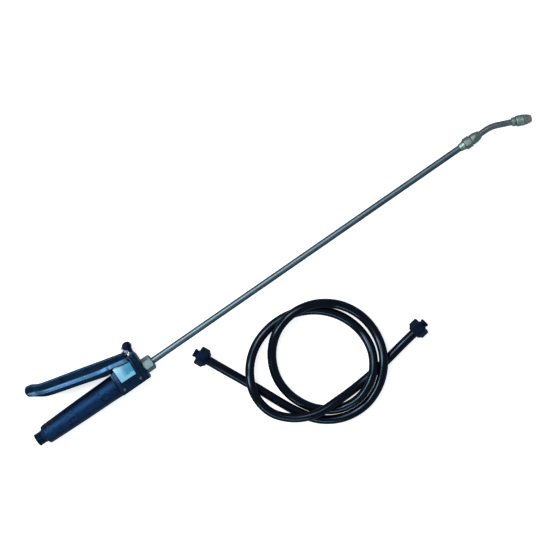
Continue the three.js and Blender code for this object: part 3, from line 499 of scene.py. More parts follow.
gloss_black, *_ = worn_finish(
    "gloss_black", 0.0, (0.0012, 0.0050, 0.0160), (0.0025, 0.0100, 0.0270), (0.12, 0.22), 70.0,
    (0.015, 0.03, 0.05), 0.5, 0.25, Specular_IOR_Level=0.8,
    Specular_Tint=(0.18, 0.46, 0.85, 1.0))
give(valve_body, gloss_black, "handle", "black_plastic", "valve_body")

# ---- cheek covers, label and screws ------------------------------------------------------------
# Two moulded covers close the valve's core, each held by two pan-head screws in recesses. The upper
# one carries a foil label in a shallow recess, pale along its rear and lower border.
COVER_FRONT = COLLAR_REAR - GAP
COVER_OUTLINE = [(-40.6, HEAD_BOTTOM), (COVER_FRONT, HEAD_BOTTOM), (COVER_FRONT, 23.5),
                 (-22, 20.5), (HEAD_REAR, 15.4), (HEAD_REAR, -14.8)]
COVER_INNER = CORE_HALF + GAP
COVER_SCREWS = [(-36, -10.9), (-10.2, -10.1)]
SCREW_HEAD_RADIUS = 2.4
SCREW_HEAD_HEIGHT = 1.4
SCREW_SHANK_RADIUS = 1.4
SCREW_LENGTH = 10
LABEL = [(-34.4, -1), (-12.4, -1.6), (-10.9, 16.6), (-34.4, 20.2)]
LABEL_RECESS = [(-34.7, -1.3), (-12.1, -1.9), (-10.6, 16.9), (-34.7, 20.5)]
LABEL_BASE = HEAD_HALF - 0.4


def lance_point(x, y, z=0.0):
    """A point given in mm from the lance's axis at the head's front face."""
    return LANCE + Vector((x, y, z)) * MM


def face_outwards():
    """Makes the active piece's faces agree, outwards where its mesh is closed."""
    bpy.ops.object.mode_set(mode="EDIT")
    bpy.ops.mesh.select_all(action="SELECT")
    bpy.ops.mesh.normals_make_consistent(inside=False)
    bpy.ops.object.mode_set(mode="OBJECT")


def cover(name, side):
    """One cheek cover with its screw recesses and the step along its rear edge."""
    made = plate(name, COVER_OUTLINE, COVER_INNER, HEAD_HALF)
    soften(made, 0.7, 3)
    for x, y in COVER_SCREWS:
        carve(made, rod("recess", [(HEAD_HALF - 1.7, SCREW_HEAD_RADIUS + GAP),
                                   (HEAD_HALF + 1, SCREW_HEAD_RADIUS + GAP)], (x, y, 0)))
        carve(made, rod("screw_hole", [(COVER_INNER - 1, 1.7), (HEAD_HALF, 1.7)], (x, y, 0)))
    carve(made, block("rear_step", (HEAD_REAR + 1.3, HEAD_REAR + 1.9), (HEAD_BOTTOM - 1, 17),
                      (HEAD_HALF - 0.35, HEAD_HALF + 1)))
    if side > 0:
        carve(made, plate("label_recess", LABEL_RECESS, LABEL_BASE - GAP, HEAD_HALF + 1))
    else:
        made.scale.z = -1
        bpy.ops.object.transform_apply()
        face_outwards()
    seat(made, LANCE)
    smooth(32)
    return made


for name, side in (("upper", 1), ("lower", -1)):
    give(cover(f"cover_{name}", side), gloss_black, "handle", "black_plastic",
         f"cheek_cover_{name}")

label = plate("foil_label", LABEL, LABEL_BASE, HEAD_HALF)
soften(label, 0.12, 2)
seat(label, LANCE)
foil, foil_tree, foil_shader = new_material("label_foil", 0.0, Roughness=0.32, Coat_Weight=0.2,
                                            Specular_IOR_Level=0.4)


def make_label_group():
    """Pale is 1 on the label's rear strip and lower border, with a soft uneven edge."""
    group, _, out, place = new_group("label_tone", {}, ["Pale", "Grain"])
    split = node(group, "SeparateXYZ", {0: place})
    noise = node(group, "TexNoise", {"Vector": place, "Scale": 190.0, "Detail": 3.0})
    sway = maths(group, "MULTIPLY_ADD", noise.outputs[0], 0.006, -0.003)
    x = maths(group, "ADD", split.outputs[0], sway)
    y = maths(group, "ADD", split.outputs[1], sway)
    middle = lance_point(-24.4, 3.6)
    rear = node(group, "MapRange", {"Value": x, "From Min": middle.x + 0.003,
                                    "From Max": middle.x - 0.003})
    foot = node(group, "MapRange", {"Value": y, "From Min": middle.y + 0.0015,
                                    "From Max": middle.y - 0.0015})
    pale = maths(group, "MAXIMUM", rear.outputs[0], foot.outputs[0])
    group.links.new(pale, out.inputs["Pale"])
    group.links.new(noise.outputs[0], out.inputs["Grain"])
    return group


label_tone = placed_group(foil_tree, make_label_group())
foil_tree.links.new(blend_colours(foil_tree, label_tone.outputs["Pale"], (0.045, 0.29, 0.46),
                                  (0.24, 0.56, 0.72)), foil_shader.inputs["Base Color"])
lay_relief(foil_tree, foil_shader, label_tone.outputs["Grain"], 0.15, 0.0003)
give(label, foil, "handle", "label_foil", "label_plate")

screw_steel, *_ = worn_finish(
    "screw_steel", 1.0, (0.05, 0.06, 0.08), (0.09, 0.10, 0.12), (0.30, 0.50), 320.0,
    (0.20, 0.21, 0.22), 0.7, 0.25)


def pan_screw(name):
    """A cross-recess pan-head screw standing on its tip, its head's top at the cover's face."""
    top = HEAD_HALF - 0.1
    made = turned(name, [
        (top - SCREW_LENGTH, SCREW_SHANK_RADIUS), (top - SCREW_HEAD_HEIGHT, SCREW_SHANK_RADIUS),
        (top - SCREW_HEAD_HEIGHT, SCREW_HEAD_RADIUS), (top - 0.8, SCREW_HEAD_RADIUS - 0.02),
        (top - 0.45, 2.15), (top - 0.2, 1.7), (top - 0.05, 1.0), (top, 0.3)], 40)
    for width, depth in ((1.6, 0.32), (0.32, 1.6)):
        carve(made, block("cross", (-width, width), (-depth, depth), (top - 0.7, top + 1)))
    smooth(35)
    return made


for side_name, side in (("upper", 1), ("lower", -1)):
    for i, (x, y) in enumerate(COVER_SCREWS, 1):
        screw = pan_screw(f"head_screw_{side_name}_{i}")
        seat(screw, lance_point(x, y), Vector((0, 0, side)), math.radians(20 + 37 * i))
        give(screw, screw_steel, "handle", "steel", f"cover_screw_{side_name}_{i}")

# ---- grip --------------------------------------------------------------------------------------
# A tapering hollow handle with a fine pebbled skin, glued on the spigot. Its rear stub carries the
# hose's thread, and a mesh strainer stands in the bore.
GRIP_FRONT = HEAD_REAR - GAP
GRIP_LENGTH = 114
GRIP_REAR = GRIP_FRONT - GRIP_LENGTH
STUB_LENGTH = 12.4
STUB_END = GRIP_REAR - STUB_LENGTH
STUB_RADIUS = 8.8
GRIP_BORE = 6.5
THREAD_RINGS = 26
THREAD_RING_STEP = 0.4
THREAD_PITCH = 2.0
THREAD_DEPTH = 0.9


def moulded_thread(piece, low, high, radius, pitch, depth):
    """Cuts a helical thread about Z into the rings of a turned piece between two heights."""
    for vertex in piece.data.vertices:
        x, y, z = vertex.co / MM
        if low < z < high and abs(math.hypot(x, y) - radius) < 0.05:
            turn = (z / pitch - math.atan2(y, x) / (2 * math.pi)) % 1.0
            ease = min(1.0, (z - low) / pitch, (high - z) / pitch)
            groove = depth * ease * (1 - abs(2 * turn - 1))
            vertex.co.x *= 1 - groove / radius
            vertex.co.y *= 1 - groove / radius


thread_rings = [(STUB_END + 0.8 + THREAD_RING_STEP * i, STUB_RADIUS)
                for i in range(THREAD_RINGS)]
grip = turned("grip_skin", [
    (STUB_END, GRIP_BORE), (STUB_END, STUB_RADIUS - 0.8), *thread_rings, (GRIP_REAR, STUB_RADIUS),
    (GRIP_REAR, 10.4), (GRIP_REAR + 0.4, 11.2), (GRIP_REAR + 1, 12.1), (GRIP_REAR + 1.9, 12.6),
    (GRIP_REAR + 3, 12.9), (GRIP_REAR + 6, 13.1), (GRIP_REAR + 30, 13.8), (GRIP_REAR + 57, 14.5),
    (GRIP_REAR + 80, 14.8), (GRIP_FRONT - 14, 15.05), (GRIP_FRONT - 1.2, 15.6),
    (GRIP_FRONT - 0.4, 15.45), (GRIP_FRONT, 15.0), (GRIP_FRONT, SPIGOT_RADIUS + GAP),
    (SPIGOT_END - GAP, SPIGOT_RADIUS + GAP), (SPIGOT_END - GAP, GRIP_BORE)], 96, ring=True)
moulded_thread(grip, STUB_END + 0.6, GRIP_REAR - 1.2, STUB_RADIUS, THREAD_PITCH, THREAD_DEPTH)
smooth(35)
seat(grip, LANCE, ALONG)

pebbled, pebble_tree, pebble_shader, pebble_relief = worn_finish(
    "pebbled_grip", 0.0, (0.0010, 0.0020, 0.0090), (0.0025, 0.0060, 0.0200), (0.24, 0.36), 55.0,
    (0.01, 0.025, 0.05), 0.4, 0.35, Specular_IOR_Level=0.8,
    Specular_Tint=(0.10, 0.40, 1.0, 1.0))


def make_pebble_group():
    """A fine moulded pebble: rounded cells about 1 mm across."""
    group, given, out, place = new_group("pebble", {"Size": 1100.0}, ["Height"])
    cells = node(group, "TexVoronoi", {"Vector": place, "Scale": given.outputs["Size"],
                                       "Smoothness": 0.7}, feature="SMOOTH_F1")
    broad = node(group, "TexNoise", {"Vector": place, "Scale": 160.0, "Detail": 4.0})
    height = maths(group, "MULTIPLY_ADD", broad.outputs[0], 1.6, cells.outputs["Distance"])
    group.links.new(height, out.inputs["Height"])
    return group


pebble = placed_group(pebble_tree, make_pebble_group())
lay_relief(pebble_tree, pebble_shader, pebble.outputs["Height"], 0.9, 0.0004, pebble_relief)
give(grip, pebbled, "handle", "grip_plastic", "grip")

# ---- inside the handle -------------------------------------------------------------------------
# Turned brass valve parts, rubber seals, a wound spring and a mesh strainer, which slide or screw
# into the moulding. They keep their shapes from the frame and get their own finishes.
turned_brass, *_ = worn_finish(
    "turned_brass", 1.0, (0.34, 0.22, 0.10), (0.52, 0.36, 0.17), (0.22, 0.42), 180.0,
    (0.62, 0.46, 0.24), 0.7, 0.2)
seal_rubber, *_ = worn_finish(
    "seal_rubber", 0.0, (0.010, 0.010, 0.011), (0.022, 0.022, 0.024), (0.62, 0.8), 320.0,
    (0.05, 0.05, 0.05), 0.4, 0.4)
spring_steel, *_ = worn_finish(
    "spring_steel", 1.0, (0.16, 0.17, 0.19), (0.28, 0.29, 0.31), (0.24, 0.4), 300.0,
    (0.3, 0.3, 0.3), 0.3, 0.2)
strainer_mesh, mesh_tree, mesh_shader, mesh_relief = worn_finish(
    "strainer_mesh", 0.0, (0.62, 0.62, 0.58), (0.76, 0.76, 0.72), (0.5, 0.66), 150.0,
    (0.8, 0.8, 0.78), 0.3, 0.2)


def lay_colour(tree, shader, mask, colour):
    """A second colour laid over the shader's own where the mask is 1."""
    under = shader.inputs["Base Color"].links[0].from_socket
    tree.links.new(blend_colours(tree, mask, under, colour), shader.inputs["Base Color"])


def make_mesh_group():
    """A woven screen with openings about 0.5 mm apart; Hole marks the openings, which are painted
    dark as painted shade.
    """
    group, given, out, place = new_group("screen", {"Size": 1000.0}, ["Height", "Hole"])
    waves = [node(group, "TexWave", {"Vector": place, "Scale": given.outputs["Size"]},
                  bands_direction=axis) for axis in ("X", "DIAGONAL")]
    weave = maths(group, "MAXIMUM", waves[0].outputs[1], waves[1].outputs[1])
    hole = node(group, "MapRange", {"Value": weave, "From Min": 0.55, "From Max": 0.35})
    group.links.new(weave, out.inputs["Height"])
    group.links.new(hole.outputs[0], out.inputs["Hole"])
    return group


screen = placed_group(mesh_tree, make_mesh_group())
# Painted shade: the openings in the weave are painted dark for the shaded bore seen through them.
lay_colour(mesh_tree, mesh_shader, screen.outputs["Hole"], (0.16, 0.16, 0.15))
lay_relief(mesh_tree, mesh_shader, screen.outputs["Height"], 0.5, 0.0002, mesh_relief)

KEPT_NODES = {
    turned_brass: ["valve_seat", "valve_plunger", "gland_nut", "spring_cap", "lance_olive",
                   "swirl_core"],
    seal_rubber: ["strainer_seal", "gland_seal", "poppet_washer", "coupling_seal", "nozzle_gasket",
                  "tail_washer_a", "tail_washer_b"],
    spring_steel: ["return_spring", "pivot_pin"],
    strainer_mesh: ["inlet_strainer"],
}
for material, names in KEPT_NODES.items():
    for name in names:
        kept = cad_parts[name]
        kept.data.materials.clear()
        kept.data.materials.append(material)
        edge = kept.modifiers.new("edge", "BEVEL")
        edge.width = 0.12 * MM
        edge.segments = 2
        edge.limit_method = "ANGLE"

# ---- lever -------------------------------------------------------------------------------------
# A moulded plastic channel open towards the grip. Its side band flares out into a rim, and a skirt
# steps in below it. The tip turns up and closes, and a rounded rib inside presses the valve.
BAND_HALF = 15.7
RIM_HALF = 17.3
SKIRT_HALF = 16.0
LEVER_WALL = 1.2
SHOULDER = 2.0
SHOULDER_STEPS = 5
SHOULDER_SHARE = 0.42    # the most of a section's depth that its shoulder takes up
FLARE_DEPTH = 5.6
FLARE_SHARE = 0.6        # the most of what is left below the shoulder that flares
# From the hinge to the tip, each section's back, rim and skirt edge, in mm along and across the
# lance from its axis at the head's front face. The closer ones are at the steps in the skirt.
LEVER_STATIONS = [
    ((-11, 30.4), (-9.5, 16.6), (-9.5, 15.9)), ((-20, 32.8), (-24, 19), (-24, 18.3)),
    ((-35.5, 36.8), (-35.5, 21.8), (-35.5, 21.1)), ((-36.5, 37), (-36.5, 21.6), (-36.6, 20.4)),
    ((-38, 37.4), (-37.6, 21.9), (-38, 17.2)), ((-42, 38.4), (-41, 23), (-41, 15.6)),
    ((-50, 40.5), (-47.5, 23.4), (-47.5, 17.3)), ((-62.5, 43.8), (-60, 26.6), (-60, 21)),
    ((-78, 47.7), (-76, 30.9), (-73.5, 25.1)), ((-94, 51.7), (-92, 35.2), (-92, 30.2)),
    ((-110, 55.6), (-107, 39.3), (-107, 34.4)), ((-125, 59.4), (-120, 43), (-120, 38)),
    ((-130.5, 61.6), (-127, 45.4), (-126, 40.9)), ((-134.5, 65), (-132, 48.2), (-131, 44.2)),
    ((-138.5, 66.2), (-136.4, 49.4), (-136, 48)), ((-142.5, 64.2), (-140.2, 51.2), (-140, 50.5)),
    ((-144.6, 60), (-142.2, 52.3), (-142, 51.6)), ((-144.8, 56), (-143, 53.2), (-142.8, 52.6)),
]


def lever_section(back, rim, foot):
    """Half of one section, from the middle of the back round the shoulder to the skirt's edge."""
    back, rim, foot = Vector(back), Vector(rim), Vector(foot)
    down = (rim - back).normalized()
    depth = (rim - back).length
    shoulder = min(SHOULDER, depth * SHOULDER_SHARE)
    flat = BAND_HALF - shoulder
    points = [(back, 0.0), (back, flat * 0.55), (back, flat)]
    for i in range(1, SHOULDER_STEPS):
        angle = math.pi / 2 * i / SHOULDER_STEPS
        points.append((back + down * shoulder * (1 - math.cos(angle)),
                       flat + shoulder * math.sin(angle)))
    flare = min(FLARE_DEPTH, (depth - shoulder) * FLARE_SHARE)
    points += [(back + down * shoulder, BAND_HALF),
               (back + down * (shoulder + depth - flare) / 2, BAND_HALF)]
    points += [(rim - down * flare * away, BAND_HALF + (RIM_HALF - BAND_HALF) * out)
               for away, out in ((1.0, 0.0), (0.92, 0.05), (0.5, 0.5), (0.14, 0.94),
                                 (0.06, 1.0), (0.0, 0.97))]
    points += [(rim + down * 0.25, BAND_HALF + 0.9), (rim + down * 0.4, SKIRT_HALF)]
    points += [(rim.lerp(foot, share), SKIRT_HALF) for share in (0.45, 0.85)]
    points.append((foot, SKIRT_HALF - 0.3))
    return [Vector((point.x, point.y, z)) for point, z in points]


sections = []
for station in LEVER_STATIONS:
    half = lever_section(*station)
    far_half = [Vector((p.x, p.y, -p.z)) for p in reversed(half[1:])]
    sections.append(far_half + half)
bpy.ops.object.select_all(action="DESELECT")
bpy.ops.mesh.primitive_grid_add(x_subdivisions=len(sections[0]) - 1,
                                y_subdivisions=len(sections) - 1, size=1)
lever = bpy.context.object
lever.name = lever.data.name = "lever_channel"
for vertex, place in zip(lever.data.vertices, (p for section in sections for p in section)):
    vertex.co = place * MM
face_outwards()
BACK_MIDDLE = Vector((-60, 43, 0)) * MM
back_face = min(lever.data.polygons, key=lambda face: (face.center - BACK_MIDDLE).length)
if back_face.normal.y < 0:
    lever.data.flip_normals()
apply_modifier(lever, "SOLIDIFY", thickness=LEVER_WALL * MM, offset=-1.0)
apply_modifier(lever, "SUBSURF", levels=2, render_levels=2)
PAD_RADIUS = 4
PAD_Y = 25.3
PAD_HALF = 4.5
rib = block("rib", (VALVE_X - PAD_RADIUS, VALVE_X + PAD_RADIUS), (PAD_Y, 32.4),
            (-PAD_HALF, PAD_HALF))
carve(rib, rod("pad", [(-PAD_HALF, PAD_RADIUS), (PAD_HALF, PAD_RADIUS)], (VALVE_X, PAD_Y, 0)),
      "UNION")
pick(lever)
rib.select_set(True)
bpy.ops.object.join()
seat(lever, LANCE)
smooth(50)
give(lever, gloss_black, "lever", "black_plastic", "lever")

# ---- lever strap and hinge ---------------------------------------------------------------------
# A pressed steel bracket riveted under the lever's front carries it on the hinge pin, and a domed
# plastic cap covers each end of the pin.
EAR_INNER = KNUCKLE_HALF + 0.4
STRAP_WALL = 1.4
STRAP_HALF = EAR_INNER + STRAP_WALL
CAP_BASE = STRAP_HALF + GAP
CAP_RADIUS = 5.6
CAP_HEIGHT = 3.4
LEAN = Vector((0.269, 0.963, 0))
RIVET_FOOT = (-13, 28.06)
RIVET_SPACING = 4.2

ear_arc = [(HINGE[0] + KNUCKLE_HALF * math.cos(math.radians(115 - 16 * i)),
            HINGE[1] + KNUCKLE_HALF * math.sin(math.radians(115 - 16 * i))) for i in range(13)]
EAR_OUTLINE = [(-8.6, 27.2), (-11.9, 36.4), *ear_arc, (-7.3, 27.2)]
strap = plate("steel_strap", [(-8.6, 27.2), (-7.3, 27.2), (-10.6, 36.4), (-11.9, 36.4)],
              -STRAP_HALF, STRAP_HALF)
carve(strap, plate("foot", [(-8.6, 27.7), (-11, 27.5), (-16, 28.9), (-16, 27.5), (-11, 26.1),
                            (-8.2, 26.1), (-7.3, 27.2)], -STRAP_HALF, STRAP_HALF), "UNION")
for low, high in ((EAR_INNER, STRAP_HALF), (-STRAP_HALF, -EAR_INNER)):
    carve(strap, plate("ear", EAR_OUTLINE, low, high), "UNION")
soften(strap, 0.25, 2)
carve(strap, rod("strap_hole", [(-9, PIN_HOLE_RADIUS), (9, PIN_HOLE_RADIUS)], (*HINGE, 0)))
seat(strap, LANCE)
smooth(35)
zinc_steel, *_ = worn_finish(
    "zinc_steel", 1.0, (0.16, 0.22, 0.27), (0.24, 0.31, 0.36), (0.34, 0.55), 240.0,
    (0.34, 0.36, 0.38), 0.6, 0.25)
give(strap, zinc_steel, "lever", "steel", "lever_strap")

for i, z in enumerate((RIVET_SPACING, -RIVET_SPACING), 1):
    rivet = turned(f"rivet_{i}", [(-2.9, 1.7), (-2.7, 2.1), (-1.7, 2.1), (-1.7, 1.2), (3.2, 1.2),
                                  (3.2, 2.1), (3.5, 2.05), (3.9, 1.7), (4.2, 1.1), (4.3, 0.4)], 32)
    smooth(35)
    seat(rivet, lance_point(*RIVET_FOOT, z), LEAN)
    give(rivet, zinc_steel, "lever", "steel", f"strap_rivet_{i}")

dome = [(CAP_BASE + 0.9 + (CAP_HEIGHT - 0.9) * math.sin(math.radians(9 * i)),
         CAP_RADIUS * math.cos(math.radians(9 * i))) for i in range(10)]
for name, side in (("upper", 1), ("lower", -1)):
    cap = turned(f"hinge_cap_{name}", [
        (STRAP_HALF + 1.9, 0.4), (STRAP_HALF + 1.9, PIN_HOLE_RADIUS), (CAP_BASE, PIN_HOLE_RADIUS),
        (CAP_BASE, CAP_RADIUS - 0.2), (CAP_BASE + 0.2, CAP_RADIUS), *dome,
        (CAP_BASE + CAP_HEIGHT, 0.4)], 64)
    smooth(35)
    seat(cap, lance_point(*HINGE), Vector((0, 0, side)))
    give(cap, black_nylon, "lever", "black_plastic", f"pin_cap_{name}")

# ---- lance tube and its nut --------------------------------------------------------------------
# A drawn steel tube, polished, held in the head's nose by a plated hexagonal nut over an olive.
TUBE_END = 511
TUBE_WALL = 0.8
TUBE_BORE = TUBE_RADIUS - TUBE_WALL
tube = rod("drawn_tube", [(TUBE_START, TUBE_BORE), (TUBE_START, TUBE_RADIUS),
                          (TUBE_END, TUBE_RADIUS), (TUBE_END, TUBE_BORE)],
           LANCE / MM, ALONG, 64, True)
smooth(35)

tube_steel, tube_tree, tube_shader, tube_relief = worn_finish(
    "tube_steel", 1.0, (0.112, 0.170, 0.204), (0.161, 0.233, 0.272), (0.36, 0.50), 38.0,
    (0.2, 0.24, 0.27), 0.3, 0.15)


def make_drawn_group():
    """Fine lines left along the tube by drawing and polishing."""
    group, given, out, place = new_group("drawn_lines", {"Fineness": 2600.0}, ["Height"])
    stretched = node(group, "VectorMath", {0: place, 1: (0.02, 1.0, 1.0)}, operation="MULTIPLY")
    lines = node(group, "TexNoise", {"Vector": stretched.outputs[0],
                                     "Scale": given.outputs["Fineness"], "Detail": 3.0})
    group.links.new(lines.outputs[0], out.inputs["Height"])
    return group


drawn_lines = make_drawn_group()
lines = placed_group(tube_tree, drawn_lines)
lay_relief(tube_tree, tube_shader, lines.outputs["Height"], 0.12, 0.0001, tube_relief)
give(tube, tube_steel, "handle", "tube_steel", "lance_tube")

LANCE_NUT_FLATS = 18
LANCE_NUT_LENGTH = 13
LANCE_NUT_THREAD = NOSE_RADIUS + GAP
nut = hexagon_bar("plated_lance_nut", GAP, GAP + LANCE_NUT_LENGTH, LANCE_NUT_FLATS, 1.2,
                  SOCKET_RADIUS)
carve(nut, turned("nut_thread", [(-1, LANCE_NUT_THREAD), (12.2, LANCE_NUT_THREAD)], 64))
soften(nut, 0.3, 3, 25)
seat(nut, LANCE, ALONG, math.radians(30))
bright_plate, *_ = worn_finish(
    "bright_plate", 1.0, (0.217, 0.340, 0.394), (0.296, 0.424, 0.468), (0.34, 0.50), 130.0,
    (0.26, 0.24, 0.18), 0.5, 0.3)
give(nut, bright_plate, "handle", "nickel_brass", "lance_nut")

# ---- coupling ----------------------------------------------------------------------------------
# A collar soldered on the tube's end, a small union nut and the extension's coned body, all brass
# under a dull cast-looking nickel plate that has gone grey-green.
COUPLING_REAR = TUBE_END - 12
NUT_START = COUPLING_REAR + 7.6
NUT_END = NUT_START + 10
BODY_START = NUT_END + 0.4
BODY_END = BODY_START + 13.6
FLANGE = TUBE_END + 2.4
BENT_START = FLANGE + 8
BENT_RADIUS = 4.1
WATERWAY = 3.4
NECK_RADIUS = 4.6
COUPLING_THREAD = 5.4
COUPLING_FLATS = 13.6

satin_nickel, nickel_tree, nickel_shader, nickel_relief = worn_finish(
    "satin_nickel", 1.0, (0.297, 0.409, 0.367), (0.453, 0.593, 0.532), (0.38, 0.58), 210.0,
    (0.19, 0.15, 0.10), 0.6, 0.5)


def make_grain_group():
    """The dull grain of blasted and plated brass, with small dark pits."""
    group, given, out, place = new_group("blasted_grain", {"Size": 1500.0}, ["Height", "Pits"])
    grain = node(group, "TexNoise", {"Vector": place, "Scale": given.outputs["Size"],
                                     "Detail": 4.0, "Roughness": 0.7})
    coarse = node(group, "TexNoise", {"Vector": place, "Scale": 700.0, "Detail": 2.0})
    pits = node(group, "MapRange", {"Value": coarse.outputs[0], "From Min": 0.58,
                                    "From Max": 0.68})
    group.links.new(grain.outputs[0], out.inputs["Height"])
    group.links.new(pits.outputs[0], out.inputs["Pits"])
    return group


blasted_grain = make_grain_group()


def add_grain(tree, shader, relief, pit_colour):
    """Grain in the surface and darker pits in the colour."""
    grain = placed_group(tree, blasted_grain)
    lay_colour(tree, shader, grain.outputs["Pits"], pit_colour)
    lay_relief(tree, shader, grain.outputs["Height"], 0.5, 0.0002, relief)


add_grain(nickel_tree, nickel_shader, nickel_relief, (0.08, 0.11, 0.10))

end_collar = rod("soldered_collar", [
    (COUPLING_REAR, SOCKET_RADIUS), (COUPLING_REAR, 5.05), (COUPLING_REAR + 3, 5.35),
    (COUPLING_REAR + 5.6, 5.95), (NUT_START - GAP - 0.3, 6.4), (NUT_START - GAP, 6.1),
    (NUT_START - GAP, COUPLING_THREAD), (TUBE_END + 1, COUPLING_THREAD),
    (TUBE_END + 1, WATERWAY),
    (TUBE_END + GAP, WATERWAY), (TUBE_END + GAP, SOCKET_RADIUS)], LANCE / MM, ALONG, 64, True)
soften(end_collar, 0.2, 2)
give(end_collar, satin_nickel, "handle", "nickel_brass", "end_collar")

coupling_nut = hexagon_bar("small_union_nut", NUT_START, NUT_END, COUPLING_FLATS, 0.9,
                           NECK_RADIUS + GAP)
carve(coupling_nut, turned("nut_thread", [
    (NUT_START - 1, COUPLING_THREAD + GAP), (NUT_END - 2, COUPLING_THREAD + GAP)], 64))
soften(coupling_nut, 0.35, 3, 25)
seat(coupling_nut, LANCE, ALONG, math.radians(30))
give(coupling_nut, satin_nickel, "handle", "nickel_brass", "coupling_nut")

coupling_body = rod("coned_body", [
    (FLANGE, WATERWAY), (FLANGE, COUPLING_THREAD), (NUT_END - 2 - GAP, COUPLING_THREAD),
    (NUT_END - 2 - GAP, NECK_RADIUS),
    (BODY_START, NECK_RADIUS), (BODY_START, 6.3), (BODY_START + 0.7, 7.0), (BODY_START + 6.0, 7.0),
    (BODY_START + 7.2, 6.75), (BODY_START + 10.5, 5.85), (BODY_END - 0.8, 5.2), (BODY_END, 4.9),
    (BODY_END, BENT_RADIUS + GAP), (BENT_START - GAP, BENT_RADIUS + GAP),
    (BENT_START - GAP, WATERWAY)], LANCE / MM, ALONG, 64, True)
soften(coupling_body, 0.2, 2)
give(coupling_body, satin_nickel, "extension", "nickel_brass", "coupling_body")

# ---- bent extension ----------------------------------------------------------------------------
# A short polished tube, brazed into the coned body and bent once before the nozzle.
STRAIGHT_BEFORE = 18.5
STRAIGHT_AFTER = 23.7
BEND_RADIUS = 42
BEND = math.radians(23)
BEND_STEPS = 6
bend_from = BENT_START + STRAIGHT_BEFORE


def on_bend(angle):
    """A point on the bend's centreline, in mm from the lance's axis at the head's front face."""
    return Vector((bend_from + BEND_RADIUS * math.sin(angle),
                   BEND_RADIUS * (math.cos(angle) - 1), 0))


nozzle_way = Vector((math.cos(BEND), -math.sin(BEND), 0))
bent_line = [Vector((BENT_START, 0, 0)), Vector((BENT_START + 9, 0, 0))]
bent_line += [on_bend(BEND * i / BEND_STEPS) for i in range(BEND_STEPS + 1)]
bent_line += [on_bend(BEND) + nozzle_way * reach for reach in (10, STRAIGHT_AFTER)]
bent_tube = smooth_line("bent_extension", [LANCE + point * MM for point in bent_line],
                        BENT_RADIUS * MM)
pick(bent_tube)
bpy.ops.object.convert(target="MESH")
bent_tube = bpy.context.object
smooth(35)

bent_steel, bent_tree, bent_shader, bent_relief = worn_finish(
    "bent_steel", 1.0, (0.300, 0.355, 0.385), (0.460, 0.530, 0.560), (0.20, 0.34), 60.0,
    (0.2, 0.2, 0.22), 0.3, 0.2)
bent_lines = placed_group(bent_tree, drawn_lines)
lay_relief(bent_tree, bent_shader, bent_lines.outputs["Height"], 0.1, 0.0001, bent_relief)
give(bent_tube, bent_steel, "extension", "tube_steel", "bent_tube")

# ---- nozzle ------------------------------------------------------------------------------------
# A collar and stem brazed on the tube's end, and a screw cap with a knurled rear that tapers to a
# brass orifice. The plate is worn through to the brass round the mouth.
CAP_START = 3.4
CAP_END = CAP_START + 20.6
CAP_RADIUS_REAR = 7.3
STEM_RADIUS = 4.6
KNURL_TEETH = 30
KNURL_DEPTH = 0.28
KNURL_RINGS = 26
KNURL_STEP = 0.3
nozzle_end = LANCE + (on_bend(BEND) + nozzle_way * (STRAIGHT_AFTER - CAP_START + GAP + 0.4)) * MM

nozzle_body = turned("nozzle_stem", [
    (-2, BENT_RADIUS + GAP), (-2, 5.3), (-1.4, 5.9), (CAP_START - GAP - 0.4, 5.9),
    (CAP_START - GAP, 5.6), (CAP_START - GAP, STEM_RADIUS), (14, STEM_RADIUS), (14, 2.4),
    (3, 2.4), (3, BENT_RADIUS + GAP)], 64, True)
soften(nozzle_body, 0.2, 2)
seat(nozzle_body, nozzle_end, nozzle_way)
give(nozzle_body, satin_nickel, "extension", "nickel_brass", "nozzle_body")

knurl_rings = [(CAP_START + 1.2 + KNURL_STEP * i, CAP_RADIUS_REAR) for i in range(KNURL_RINGS)]
nozzle_cap = turned("nozzle_screw_cap", [
    (CAP_START, STEM_RADIUS + GAP), (CAP_START, CAP_RADIUS_REAR - 1.0),
    (CAP_START + 0.3, CAP_RADIUS_REAR - 0.45), (CAP_START + 0.8, CAP_RADIUS_REAR - 0.1),
    *knurl_rings, (13.2, 7.1), (15.5, 6.8), (18, 6.35), (20.5, 5.75), (22.3, 5.15),
    (23.1, 4.6), (CAP_END, 3.8), (CAP_END, 2.7), (22, 2.7), (22, 3.6), (15.8, 3.6),
    (15.8, STEM_RADIUS + GAP)], 120, True)
for vertex in nozzle_cap.data.vertices:
    x, y, z = vertex.co / MM
    on_skin = abs(math.hypot(x, y) - CAP_RADIUS_REAR) < 0.05
    if knurl_rings[0][0] < z < knurl_rings[-1][0] and on_skin:
        turn = math.atan2(y, x) / (2 * math.pi) * KNURL_TEETH
        lead = z * KNURL_TEETH / (2 * math.pi * CAP_RADIUS_REAR)
        tooth = max(abs((turn + lead) % 1.0 * 2 - 1), abs((turn - lead) % 1.0 * 2 - 1))
        share = 1 - KNURL_DEPTH * tooth / CAP_RADIUS_REAR
        vertex.co.x *= share
        vertex.co.y *= share
smooth(40)
seat(nozzle_cap, nozzle_end, nozzle_way)

worn_nickel, cap_tree, cap_shader, cap_relief = worn_finish(
    "worn_nickel", 1.0, (0.321, 0.461, 0.407), (0.536, 0.706, 0.631), (0.38, 0.58), 230.0,
    (0.21, 0.16, 0.11), 0.8, 0.5)
add_grain(cap_tree, cap_shader, cap_relief, (0.07, 0.10, 0.09))


